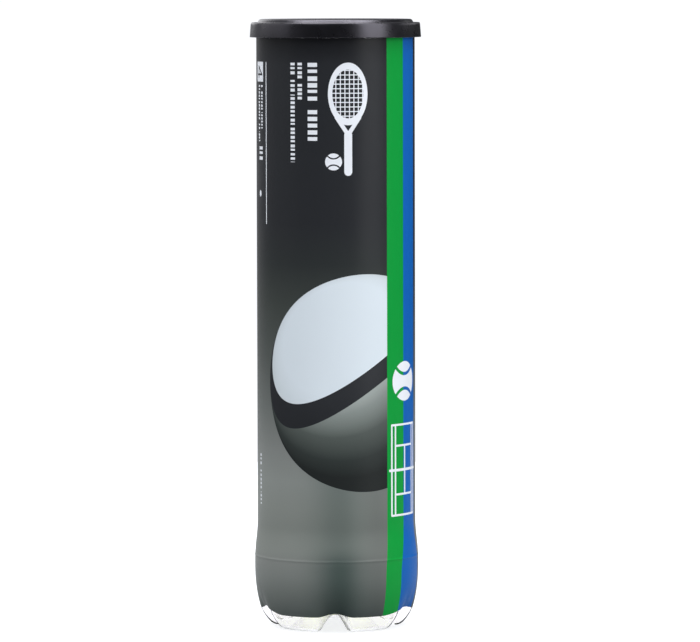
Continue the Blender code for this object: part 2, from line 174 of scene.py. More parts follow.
def point_at(radius: float, azimuth: float, z: float) -> Vector:
    """A point on a circle round the can's axis."""
    return Vector((radius * math.sin(azimuth), -radius * math.cos(azimuth), z))


def rounded(profile: Sequence[Point2], radii: Sequence[float], closed: bool, steps: int = 4) -> list[Point2]:
    """Rounds the corners of a profile.

    Args:
        profile: corner points.
        radii: how far from each corner its rounding starts; 0 keeps it sharp.
        closed: whether the last point joins the first.
        steps: spans in each rounding.

    Returns:
        The profile with each rounded corner drawn as a short curve.
    """
    count = len(profile)
    result: list[Point2] = []
    for i, (corner, reach) in enumerate(zip(profile, radii)):
        if reach == 0 or (not closed and i in (0, count - 1)):
            result.append(corner)
            continue
        here = Vector(corner)
        before, after = Vector(profile[i - 1]), Vector(profile[(i + 1) % count])
        start = here + (before - here).normalized() * min(reach, (before - here).length * 0.49)
        end = here + (after - here).normalized() * min(reach, (after - here).length * 0.49)
        for step in range(steps + 1):
            way = step / steps
            spot = start * (1 - way) ** 2 + here * 2 * way * (1 - way) + end * way**2
            result.append((spot.x, spot.y))
    return result


def mesh_of(name: str, points: Iterable[Vector], faces: Sequence[tuple[int, ...]]) -> bpy.types.Mesh:
    """Makes a mesh from points in millimetres and faces."""
    mesh = bpy.data.meshes.new(name)
    mesh.from_pydata([tuple(p * MM) for p in points], [], faces)
    return mesh


def skin(
    name: str,
    rings: Sequence[Sequence[Vector]],
    closed: bool = False,
    print_of: Callable[[int, Vector], Point2] | None = None,
    sharp: float = 40.0,
) -> bpy.types.Object:
    """Makes an object over a list of rings.

    Args:
        name: object name.
        rings: each a list of millimetre points, or one point where the shape meets its axis.
        closed: whether the last ring joins the first.
        print_of: gives a point's place on the print from its column and position, for the print's UV map.
        sharp: edges that bend by more than this many degrees stay sharp.

    Returns:
        The object, with its faces turned outwards and shaded smooth.
    """
    points: list[Vector] = []
    starts: list[int] = []
    for ring in rings:
        starts.append(len(points))
        points.extend(ring)
    pairs = list(zip(range(len(rings)), range(1, len(rings))))
    if closed:
        pairs.append((len(rings) - 1, 0))
    faces, columns = [], []
    for low, high in pairs:
        for i in range(max(len(rings[low]), len(rings[high]))):
            corners = []
            for ring, column in ((low, i), (low, i + 1), (high, i + 1), (high, i)):
                index = starts[ring] + column % len(rings[ring])
                if index not in [c[0] for c in corners]:
                    corners.append((index, column))
            faces.append(tuple(c[0] for c in corners))
            columns.append({c[0]: c[1] for c in corners})
    mesh = mesh_of(name, points, faces)
    if print_of:
        layer = mesh.uv_layers.new(name="print")
        for polygon, column_of in zip(mesh.polygons, columns):
            for loop in polygon.loop_indices:
                index = mesh.loops[loop].vertex_index
                layer.data[loop].uv = print_of(column_of[index], points[index])
    return finished_object(name, mesh, sharp)


def finished_object(name: str, mesh: bpy.types.Mesh, sharp: float = 40.0) -> bpy.types.Object:
    """Turns a mesh's faces outwards, shades it and links it as an object.

    Args:
        name: object name.
        mesh: the mesh, in metres.
        sharp: edges that bend by more than this many degrees stay sharp.

    Returns:
        The new object.
    """
    shape = bmesh.new()
    shape.from_mesh(mesh)
    bmesh.ops.recalc_face_normals(shape, faces=shape.faces)
    shape.to_mesh(mesh)
    shape.free()
    mesh.shade_smooth()
    mesh.set_sharp_from_angle(angle=math.radians(sharp))
    made = bpy.data.objects.new(name, mesh)
    bpy.context.scene.collection.objects.link(made)
    return made


def turned(name: str, profile: Sequence[Point2], closed: bool, segments: int = 160) -> bpy.types.Object:
    """Makes an object turned round the can's axis.

    Args:
        name: object name.
        profile: (radius, z) points; a radius of 0 is the axis.
        closed: whether the profile is a loop clear of the axis.
        segments: columns round the axis.

    Returns:
        The object.
    """
    azimuths = [2 * math.pi * i / segments for i in range(segments)]
    rings = []
    for radius, z in profile:
        rings.append([Vector((0, 0, z))] if radius == 0 else [point_at(radius, a, z) for a in azimuths])
    return skin(name, rings, closed)


def place(piece: bpy.types.Object, finish: bpy.types.Material, slot: str, body: str, *nodes: str) -> None:
    """Gives a piece its finish, the body it rides on and the nodes it stands for.

    Args:
        piece: the finished object.
        finish: its material.
        slot: the record's material slot; not used.
        body: the body it rides on.
        nodes: nodes of the frame that it replaces.
    """
    piece.data.materials.clear()
    piece.data.materials.append(finish)
    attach(piece, body)
    if nodes:
        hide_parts(*nodes)
    LOG.info("%s rides on %s: %d faces", piece.name, body, len(piece.data.polygons))


# Finishes


@dataclass(frozen=True)
class ClearPet:
    """Stretch-blown PET: water clear, glossy both sides, with the faint waves that blowing leaves."""

    tint: str = "#fffdff"
    lamp_tint: str = "#f8fbfb"
    ior: float = 1.575
    roughness: float = 0.03
    wave_mm: float = 14.0

    def make(self) -> bpy.types.Material:
        """Returns the material; lamps shine through it, so what the can holds is lit."""
        made, tree = new_material("Stretch-blown clear PET")
        where = add(tree, "TexCoord").outputs["Object"]
        waves = add(tree, "TexNoise", named={"Vector": where, "Scale": cells(self.wave_mm), "Detail": 1.0})
        bump = add(tree, "Bump", named={"Strength": 0.12, "Distance": 0.4 * MM, "Height": waves})
        shader = dress(
            tree,
            Base_Color=linear(self.tint),
            IOR=self.ior,
            Roughness=self.roughness,
            Transmission_Weight=1.0,
            Normal=bump,
        )
        rays = add(tree, "LightPath").outputs
        passing = add(tree, "Math", rays["Is Shadow Ray"], rays["Is Diffuse Ray"], operation="MAXIMUM")
        through = add(tree, "BsdfTransparent", linear(self.lamp_tint))
        mix = add(tree, "MixShader", passing, shader, through)
        feed(tree, tree.nodes["Material Output"], {"Surface": mix})
        return made


@dataclass(frozen=True)
class LidPolyethylene:
    """Black LDPE, injection moulded in a fine-blasted tool: soft sheen, a slight mottle, scuffed edges."""

    colour: str = "#07080a"
    light: str = "#0e0f12"
    roughness: float = 0.28
    blasted_roughness: float = 0.24  # added on the flat top, which the tool leaves duller
    grain_mm: float = 0.5  # real blasting grain is about 0.1 mm, drawn coarser so that it shows
    mottle_mm: float = 4.0

    def make(self) -> bpy.types.Material:
        """Returns the material."""
        made, tree = new_material("Black moulded LDPE")
        where = add(tree, "TexCoord").outputs["Object"]
        grain = add(tree, "TexNoise", named={"Vector": where, "Scale": cells(self.grain_mm), "Detail": 2.0})
        mottle = add(tree, "TexNoise", named={"Vector": where, "Scale": cells(self.mottle_mm), "Detail": 3.0})
        low, high = self.roughness - 0.015, self.roughness + 0.025
        rough = add(tree, "MapRange", mottle.outputs[0], 0.3, 0.7, low, high)
        tone = add(tree, "ValToRGB", mottle.outputs[0])
        fill_ramp(tone.color_ramp, ((0.0, self.colour), (1.0, self.light)))
        bump = add(tree, "Bump", named={"Strength": 0.35, "Distance": 0.06 * MM, "Height": grain})
        facing = add(tree, "SeparateXYZ", add(tree, "NewGeometry").outputs["Normal"])
        blasted = add(tree, "MapRange", facing.outputs[2], 0.9, 0.99, 0.0, self.blasted_roughness)
        both = add(tree, "Math", rough, blasted, operation="ADD")
        dress(
            tree,
            Base_Color=tone,
            Roughness=both,
            Normal=bump,
            IOR=1.51,
            Specular_IOR_Level=0.84,
            Specular_Tint=linear("#f2eeff"),
        )
        return made


@dataclass(frozen=True)
class EndSheet:
    """Lacquered aluminium sheet, rolled then stamped: fine straight rolling grain under clear lacquer."""

    colour: str = "#cfd1d4"
    dark: str = "#b9bcc0"
    roughness: float = 0.26
    grain_mm: float = 0.35  # real rolling lines are about 0.05 mm apart, drawn coarser so that they show
    grain_stretch: float = 24.0

    def make(self) -> bpy.types.Material:
        """Returns the material."""
        made, tree = new_material("Lacquered rolled aluminium")
        where = add(tree, "TexCoord").outputs["Object"]
        drawn = add(tree, "VectorMath", where, (1.0, 1 / self.grain_stretch, 1.0), operation="MULTIPLY")
        lines = add(tree, "TexNoise", named={"Vector": drawn, "Scale": cells(self.grain_mm), "Detail": 2.0})
        low, high = self.roughness - 0.06, self.roughness + 0.08
        rough = add(tree, "MapRange", lines.outputs[0], 0.3, 0.7, low, high)
        tone = add(tree, "ValToRGB", lines.outputs[0])
        fill_ramp(tone.color_ramp, ((0.0, self.dark), (1.0, self.colour)))
        bump = add(tree, "Bump", named={"Strength": 0.08, "Distance": 0.02 * MM, "Height": lines})
        dress(tree, Base_Color=tone, Roughness=rough, Normal=bump, Metallic=1.0, Coat_Weight=0.3)
        return made


@dataclass(frozen=True)
class SoftSolid:
    """A dull soft material with a fine grain: sealing compound, core rubber or seam cement."""

    name: str
    dark: str
    light: str
    roughness: float
    grain_mm: float

    def make(self) -> bpy.types.Material:
        """Returns the material."""
        made, tree = new_material(self.name)
        where = add(tree, "TexCoord").outputs["Object"]
        grain = add(tree, "TexNoise", named={"Vector": where, "Scale": cells(self.grain_mm), "Detail": 4.0})
        tone = add(tree, "ValToRGB", grain.outputs[0])
        fill_ramp(tone.color_ramp, ((0.3, self.dark), (0.7, self.light)))
        bump = add(tree, "Bump", named={"Strength": 0.4, "Distance": 0.1 * MM, "Height": grain})
        dress(tree, Base_Color=tone, Normal=bump, Roughness=self.roughness)
        return made


@dataclass(frozen=True)
class OpticFelt:
    """Dyed wool and nylon felt, needled and fluffed: bright yellow, with paler fibre ends and shaded pits."""

    # pit: darker yellow where the felt's height is low, painted shade in its pits
    pit: str = "#9fb312"
    middle: str = "#cfe02b"
    tip: str = "#e9f26a"
    tuft_mm: float = 1.6
    fibre_mm: float = 0.3  # real fibres are about 0.03 mm thick, drawn coarser so that they show

    def make(self) -> bpy.types.Material:
        """Returns the material."""
        made, tree = new_material("Optic yellow needled felt")
        where = add(tree, "TexCoord").outputs["Object"]
        tufts = add(tree, "TexNoise", named={"Vector": where, "Scale": cells(self.tuft_mm), "Detail": 5.0})
        fine = {"Vector": where, "Scale": cells(self.fibre_mm), "Detail": 3.0, "Distortion": 1.5}
        fibres = add(tree, "TexNoise", named=fine)
        both = add(tree, "Math", tufts.outputs[0], fibres.outputs[0], operation="ADD")
        height = add(tree, "Math", both, 0.5, operation="MULTIPLY")
        tone = add(tree, "ValToRGB", height)
        fill_ramp(tone.color_ramp, ((0.36, self.pit), (0.5, self.middle), (0.66, self.tip)))
        bump = add(tree, "Bump", named={"Strength": 0.9, "Distance": 0.5 * MM, "Height": height})
        dress(tree, Base_Color=tone, Normal=bump, Roughness=0.95)
        dress(tree, Sheen_Weight=0.6, Sheen_Roughness=0.6, Sheen_Tint=linear("#eef7a0"))
        return made


# Marks printed on the label


@dataclass(frozen=True)
class Stroke:
    """A straight line with round ends, between two (arc, z) points."""

    start: Point2
    end: Point2
    width: float

    def mask(self, tree: bpy.types.NodeTree, spot: Any) -> Any:
        """Returns a node that is 1 on the stroke, spot being the place on the print."""
        start, end = Vector((*self.start, 0)), Vector((*self.end, 0))
        along = end - start
        from_start = add(tree, "VectorMath", spot, tuple(start), operation="SUBTRACT")
        share = along / max(along.length_squared, 1e-9)
        way = add(tree, "VectorMath", from_start, tuple(share), operation="DOT_PRODUCT").outputs["Value"]
        held = add(tree, "Math", way, 1.0, operation="MULTIPLY", use_clamp=True)
        nearest = add(tree, "VectorMath", tuple(along), named={"Scale": held}, operation="SCALE")
        away = add(tree, "VectorMath", from_start, nearest, operation="DISTANCE").outputs["Value"]
        return add(tree, "Math", away, self.width / 2, operation="LESS_THAN")


@dataclass(frozen=True)
class Block:
    """A filled rectangle."""

    centre: Point2
    half: Point2

    def mask(self, tree: bpy.types.NodeTree, spot: Any) -> Any:
        """Returns a node that is 1 on the block."""
        across = add(tree, "SeparateXYZ", spot)
        inside = [
            add(tree, "Math", across.outputs[i], self.centre[i], self.half[i], operation="COMPARE")
            for i in range(2)
        ]
        return add(tree, "Math", *inside, operation="MULTIPLY")


@dataclass(frozen=True)
class Stripe:
    """A stripe down the can, its edges pulled sideways where the film shrinks onto the base."""

    arcs: Point2
    pull: Point2
    pull_z: Point2 = (50.0, 26.0)

    def mask(self, tree: bpy.types.NodeTree, spot: Any) -> Any:
        """Returns a node that is 1 on the stripe."""
        across = add(tree, "SeparateXYZ", spot)
        share = add(
            tree, "MapRange", across.outputs[1], *self.pull_z, 0.0, 1.0, interpolation_type="SMOOTHSTEP"
        )
        sides = []
        for arc, pull, test in zip(self.arcs, self.pull, ("GREATER_THAN", "LESS_THAN")):
            edge = add(tree, "Math", share, pull, arc, operation="MULTIPLY_ADD")
            sides.append(add(tree, "Math", across.outputs[0], edge, operation=test))
        return add(tree, "Math", *sides, operation="MULTIPLY")


@dataclass(frozen=True)
class Oval:
    """An ellipse, filled, or drawn as a line of a given width."""

    centre: Point2
    half: Point2
    line: float = 0.0

    def mask(self, tree: bpy.types.NodeTree, spot: Any) -> Any:
        """Returns a node that is 1 on the oval or on its line."""
        away = add(tree, "VectorMath", spot, (*self.centre, 0), operation="SUBTRACT")
        scaled = add(tree, "VectorMath", away, (1 / self.half[0], 1 / self.half[1], 0), operation="MULTIPLY")
        reach = add(tree, "VectorMath", scaled, operation="LENGTH").outputs["Value"]
        if not self.line:
            return add(tree, "Math", reach, 1.0, operation="LESS_THAN")
        return add(tree, "Math", reach, 1.0, self.line / sum(self.half), operation="COMPARE")


@dataclass(frozen=True)
class DummyWords:
    """A row of plain blocks in word-like groups, in place of lettering; it runs down the can."""

    arc: float
    height: float
    top: float
    pitch: float
    words: tuple[int, ...]

    def mask(self, tree: bpy.types.NodeTree, spot: Any) -> Any:
        """Returns a node that is 1 on the blocks."""
        across = add(tree, "SeparateXYZ", spot)
        down = add(tree, "Math", self.top, across.outputs[1], operation="SUBTRACT")
        count = add(tree, "Math", down, self.pitch, operation="DIVIDE")
        letter = add(tree, "Math", count, operation="FLOOR")
        part = add(tree, "Math", count, operation="FRACT")
        chance = add(tree, "TexWhiteNoise", named={"W": letter}, noise_dimensions="1D").outputs["Value"]
        width = add(tree, "MapRange", chance, 0.0, 1.0, 0.45, 0.72)
        drawn = add(tree, "Math", part, width, operation="LESS_THAN")
        groups = []
        start = self.top
        for letters in self.words:
            half = letters * self.pitch / 2
            groups.append(Block((self.arc, start - half), (self.height / 2, half)))
            start -= (letters + 0.7) * self.pitch
        return add(tree, "Math", any_of(tree, spot, groups), drawn, operation="MULTIPLY")


@dataclass(frozen=True)
class BallSign:
    """A plain ball pictogram: a disc with the two curved gaps of a ball's seam."""

    centre: Point2
    radius: float

    def mask(self, tree: bpy.types.NodeTree, spot: Any) -> Any:
        """Returns a node that is 1 on the ball and 0 on its seam."""
        arc, z = self.centre
        shape = Oval(self.centre, (self.radius,) * 2).mask(tree, spot)
        for side in (-1, 1):
            bow = self.radius * 0.95
            middle = (arc, z + side * self.radius * 1.32)
            curve = Oval(middle, (bow, bow), self.radius * 0.17).mask(tree, spot)
            shape = add(tree, "Math", shape, curve, operation="SUBTRACT", use_clamp=True)
        return shape


@dataclass(frozen=True)
class Strings:
    """The crossed strings inside a racket's head."""

    centre: Point2
    half: Point2
    pitch: float
    width: float

    def mask(self, tree: bpy.types.NodeTree, spot: Any) -> Any:
        """Returns a node that is 1 on the strings."""
        across = add(tree, "SeparateXYZ", spot)
        lines = []
        for axis in range(2):
            count = add(tree, "Math", across.outputs[axis], self.pitch, operation="DIVIDE")
            part = add(tree, "Math", count, operation="FRACT")
            lines.append(add(tree, "Math", part, self.width / self.pitch, operation="LESS_THAN"))
        crossed = add(tree, "Math", *lines, operation="MAXIMUM")
        return add(tree, "Math", crossed, Oval(self.centre, self.half).mask(tree, spot), operation="MULTIPLY")


def any_of(tree: bpy.types.NodeTree, spot: Any, marks: Iterable[Any]) -> Any:
    """Returns a node that is 1 where any of the marks is."""
    masks = [mark.mask(tree, spot) for mark in marks]
    union = masks[0]
    for mask in masks[1:]:
        union = add(tree, "Math", union, mask, operation="MAXIMUM")
    return union


@dataclass(frozen=True)
class PrintedFilm:
    """Reverse-printed polyolefin film: satin inks, a weak gloss on top, a little wavy where it is shrunk."""

    green: str = "#009036"
    blue: str = "#005aab"
    white: str = "#dfe3ea"
    dark: str = "#24262b"
    roughness: float = 0.35
    gloss: float = 0.2
    ink_mm: float = 1.2
    wave_mm: float = 18.0
    green_stripe: Stripe = Stripe((25.7, 37.2), (-1.7, -3.5))
    blue_stripe: Stripe = Stripe((37.2, 49.6), (-3.5, 2.4))
    ball_centre: Point2 = (14.3, 116.4)
    ball_radius: float = 50.5
    racket: Point2 = (5.9, 249.8)
    count_box: Point2 = (-46.4, 259.7)
    code_box: Point2 = (-91.0, 96.0)
    # The printed ground by height: dark at the top, grey lower down, and darker again towards the bottom. The
    # lighter stops from 34 to 44 are a painted highlight above the ridge. The darkening from 263 up to 276 is
    # painted shadow under the lid.
    fade: tuple[tuple[float, str], ...] = (
        (8.0, "#555c5a"), (16.0, "#646a67"), (26.0, "#757a77"), (34.0, "#7b7f7c"),
        (38.0, "#7c817d"), (44.0, "#7a7f7b"), (48.0, "#777c78"), (58.0, "#7e837f"),
        (70.0, "#828784"), (84.0, "#797d7b"), (105.0, "#616664"), (129.0, "#494e4c"),
        (152.0, "#383d3b"), (171.0, "#292d2e"), (190.0, "#25272b"), (263.0, "#25272b"),
        (276.0, "#191a1e"),
    )

    def white_marks(self) -> list[Any]:
        """Returns everything printed in white: racket, dummy words, rules, count box, court and ball sign."""
        marks: list[Any] = [
            Oval(self.racket, (8.3, 12.8), 2.6),
            Strings(self.racket, (8.0, 12.4), 2.1, 0.45),
            Stroke((0.6, 239.0), (5.9, 231.0), 1.9),
            Stroke((11.2, 239.0), (5.9, 231.0), 1.9),
            Stroke((5.9, 231.0), (5.9, 214.0), 3.7),
            BallSign((-0.9, 218.6), 3.9),
            DummyWords(-10.75, 4.6, 264.1, 3.1, (6, 5)),
            DummyWords(-17.0, 2.3, 264.1, 1.95, (4, 4)),
            DummyWords(-20.8, 2.3, 264.1, 1.98, (3, 3, 7, 8)),
            Stroke((-39.0, 264.0), (-39.0, 189.5), 0.65),
            Block(self.count_box, (4.3, 4.6)),
            DummyWords(-43.6, 1.8, 253.5, 1.5, (1, 6, 5)),
            DummyWords(-47.2, 1.8, 253.5, 1.5, (11, 2, 3)),
            DummyWords(-45.0, 4.4, 225.0, 2.3, (3,)),
            Stroke((-45.8, 203.0), (-45.8, 203.4), 2.6),
            DummyWords(-46.5, 1.6, 81.8, 1.9, (3, 5, 3)),
        ]
        return marks + self.court() + self.back_panel()

    def court(self) -> list[Any]:
        """Returns the plan of a court and a ball sign over the two stripes."""
        arc, z, unit = 38.3, 75.0, 0.54
        half_sizes_in_feet = (18.0, 13.5, 39.0, 21.0)
        half_width, singles, half_length, service = (unit * feet for feet in half_sizes_in_feet)
        line = 0.95
        marks: list[Any] = [BallSign((arc, 116.2), 9.2)]
        for side in (-1, 1):
            for out in (half_width, singles):
                beside = arc + side * out
                marks.append(Stroke((beside, z - half_length), (beside, z + half_length), line))
            for half, along in ((half_width, half_length), (singles, service)):
                level = z + side * along
                marks.append(Stroke((arc - half, level), (arc + half, level), line))
        net = half_width + 1.2
        marks.append(Stroke((arc, z - service), (arc, z + service), line))
        marks.append(Stroke((arc - net, z), (arc + net, z), line * 1.3))
        return marks

    def back_panel(self) -> list[Any]:
        """Returns the dummy small print and the white box of the bar code at the back."""
        words = (
            (5, 3, 8, 4, 9, 6), (7, 2, 6, 10, 5), (4, 9, 3, 6, 8, 5), (8, 5, 4), (6, 3, 9, 7, 4), (5, 7, 3),
        )
        rows = [DummyWords(84.0 + 3.6 * row, 1.9, 250.0, 1.7, lengths) for row, lengths in enumerate(words)]
        return [*rows, BallSign((95.0, 128.0), 11.0), Block(self.code_box, (13.0, 19.0))]

    def dark_marks(self) -> list[Any]:
        """Returns what is printed dark on white: the count in its box and the code's bars."""
        arc, z = self.count_box
        marks: list[Any] = [
            Stroke((arc - 2.9, z - 1.3), (arc + 2.9, z - 1.3), 0.95),
            Stroke((arc - 1.2, z + 2.4), (arc - 1.2, z - 2.6), 0.95),
            Stroke((arc - 1.2, z + 2.4), (arc + 2.9, z - 1.3), 0.95),
        ]
        draw = random.Random(8)
        level = 79.6
        while level < 112.0:
            thick = draw.choice((0.5, 0.5, 1.0, 1.5))
            marks.append(Block((self.code_box[0], level + thick / 2), (10.6, thick / 2)))
            level += thick + draw.choice((0.55, 0.8, 1.3))
        return marks

    def shade(self, tree: bpy.types.NodeTree, across: Any, under: Any) -> Any:
        """Paints light into the colour: a soft greenish dark reflection under the ball at the front, and a
        plain painted shade that deepens towards the stripes.

        Args:
            tree: node tree to add to.
            across: node that gives arc and height.
            under: the colour to shade.

        Returns:
            The shaded colour.
        """
        arc, z = across.outputs[0], across.outputs[1]
        low = add(tree, "MapRange", z, 42.0, 30.0, 0.42, 0.71, interpolation_type="SMOOTHSTEP")
        fade = add(tree, "MapRange", z, 95.0, 70.0, 0.0, 1.0, interpolation_type="SMOOTHSTEP")
        strength = add(tree, "Math", low, fade, operation="MULTIPLY")
        width = add(tree, "MapRange", z, 40.0, 27.0, 13.5, 12.3)
        away = add(tree, "Math", add(tree, "Math", arc, 1.8, operation="SUBTRACT"), width, operation="DIVIDE")
        square = add(tree, "Math", away, 2.0, operation="POWER")
        falling = add(tree, "Math", square, -1.0, operation="MULTIPLY")
        bell = add(tree, "Math", math.e, falling, operation="POWER")
        side = add(tree, "MapRange", arc, 7.0, 21.0, 0.0, 0.3, interpolation_type="SMOOTHSTEP")
        colour = under
        # bell with the greenish tint: painted dark reflection; side with black: painted shade towards the
        # stripes
        for share, most, tint in ((bell, strength, "#00615a"), (side, fade, "#000000")):
            amount = add(tree, "Math", share, most, operation="MULTIPLY")
            named = {0: amount, 6: colour, 7: linear(tint)}
            colour = add(tree, "Mix", named=named, data_type="RGBA", blend_type="MULTIPLY").outputs[2]
        return colour

    def printed_ball(self, tree: bpy.types.NodeTree, spot: Any, under: Any) -> Any:
        """Draws a plain two-tone ball over a colour.

        Args:
            tree: node tree to add to.
            spot: the place on the print.
            under: the colour under the picture.

        Returns:
            The colour with the ball drawn on it.
        """
        centre = (*self.ball_centre, 0)
        away = add(tree, "VectorMath", spot, centre, operation="SUBTRACT")
        unit = add(tree, "VectorMath", away, named={"Scale": 1 / self.ball_radius}, operation="SCALE")
        square = add(tree, "VectorMath", unit, unit, operation="DOT_PRODUCT").outputs["Value"]
        rest = add(tree, "Math", 1.0, square, operation="SUBTRACT", use_clamp=True)
        depth = add(tree, "Math", rest, operation="SQRT")
        flat = add(tree, "SeparateXYZ", unit)
        facing = add(tree, "CombineXYZ", flat.outputs[0], flat.outputs[1], depth)
        rolled = add(
            tree,
            "VectorRotate",
            named={"Vector": facing, "Rotation": tuple(math.radians(a) for a in (90.0, -60.0, 90.0))},
            rotation_type="EULER_XYZ",
        )
        side = self.seam_side(tree, rolled)
        seam = add(tree, "Math", side, 0.0, 0.17, operation="COMPARE")
        other = add(tree, "Math", side, 0.0, operation="GREATER_THAN")
        lit = add(tree, "VectorMath", facing, (-0.30, 0.50, 0.81), operation="DOT_PRODUCT").outputs["Value"]
        shades = []
        for stops in (
            ((0.0, "#4a504f"), (0.22, "#959d9d"), (0.5, "#bcc5ca"), (0.8, "#cfd9e1")),
            ((0.0, "#1d2121"), (0.25, "#2c3231"), (0.5, "#4d5451"), (0.68, "#7f8784"), (0.82, "#a9b1ae")),
            ((0.0, "#15171a"), (0.3, "#1d1f24"), (0.62, "#232529"), (0.85, "#2b2d31")),
        ):
            ramp = add(tree, "ValToRGB", lit)
            fill_ramp(ramp.color_ramp, stops)
            shades.append(ramp)
        ball = shades[0].outputs[0]
        for share, shade in ((other, shades[1]), (seam, shades[2])):
            named = {0: share, 6: ball, 7: shade.outputs[0]}
            ball = add(tree, "Mix", named=named, data_type="RGBA").outputs[2]
        disc = add(tree, "Math", square, 1.0, operation="LESS_THAN")
        before_stripes = add(tree, "Math", flat.outputs[0], 0.5, operation="LESS_THAN")
        inside = add(tree, "Math", disc, before_stripes, operation="MULTIPLY")
        over = add(tree, "Mix", named={0: inside, 6: under, 7: ball}, data_type="RGBA")
        return over.outputs[2]

    def seam_side(self, tree: bpy.types.NodeTree, direction: Any) -> Any:
        """Returns a node that is 0 on a ball's seam and of opposite sign on its two felts.

        The seam curve is (a cos t + b cos 3t, a sin t - b sin 3t, 2 sqrt(ab) sin 2t) on the unit ball,
        and there 2xy = (a^2 - 2ab - 3b^2) s + 4 b^2 s^3 with s = z / (2 sqrt(ab)).
        """
        a, b = BallShape.seam_a, 1 - BallShape.seam_a
        part = add(tree, "SeparateXYZ", direction)
        level = add(tree, "Math", part.outputs[2], 2 * math.sqrt(a * b), operation="DIVIDE")
        cube = add(tree, "Math", level, 3.0, operation="POWER")
        high = add(tree, "Math", cube, 4 * b * b, operation="MULTIPLY")
        curve = add(tree, "Math", level, a * a - 2 * a * b - 3 * b * b, high, operation="MULTIPLY_ADD")
        cross = add(tree, "Math", part.outputs[0], part.outputs[1], operation="MULTIPLY")
        opposite = add(tree, "Math", curve, -1.0, operation="MULTIPLY")
        return add(tree, "Math", cross, 2.0, opposite, operation="MULTIPLY_ADD")

    def make(self) -> bpy.types.Material:
        """Returns the material, drawn over the label's own print map in millimetres."""
        made, tree = new_material("Reverse-printed satin film")
        spot = add(tree, "UVMap", uv_map="print")
        across = add(tree, "SeparateXYZ", spot)
        top = self.fade[-1][0]
        height = add(tree, "Math", across.outputs[1], top, operation="DIVIDE")
        # the ground colour by height, with fade's painted highlight above the ridge and painted shadow under
        # the lid
        ground = add(tree, "ValToRGB", height)
        fill_ramp(ground.color_ramp, [(z / top, colour) for z, colour in self.fade])
        # painted dark reflection and painted shade over the printed ground
        shaded = self.shade(tree, across, ground.outputs[0])
        colour = self.printed_ball(tree, spot, shaded)
        inks = [([self.green_stripe], self.green), ([self.blue_stripe], self.blue)]
        inks += [(self.white_marks(), self.white), (self.dark_marks(), self.dark)]
        for marks, ink in inks:
            named = {0: any_of(tree, spot, marks), 6: colour, 7: linear(ink)}
            colour = add(tree, "Mix", named=named, data_type="RGBA").outputs[2]
        where = add(tree, "TexCoord").outputs["Object"]
        fine = add(tree, "TexNoise", named={"Vector": where, "Scale": cells(self.ink_mm), "Detail": 2.0})
        rough = add(tree, "MapRange", fine.outputs[0], 0.3, 0.7, self.roughness - 0.03, self.roughness + 0.04)
        waves = add(tree, "TexNoise", named={"Vector": where, "Scale": cells(self.wave_mm), "Detail": 1.0})
        bump = add(tree, "Bump", named={"Strength": 0.2, "Distance": 0.5 * MM, "Height": waves})
        dress(tree, Base_Color=colour, Roughness=rough, Normal=bump, Specular_IOR_Level=self.gloss)
        return made


# Can and label


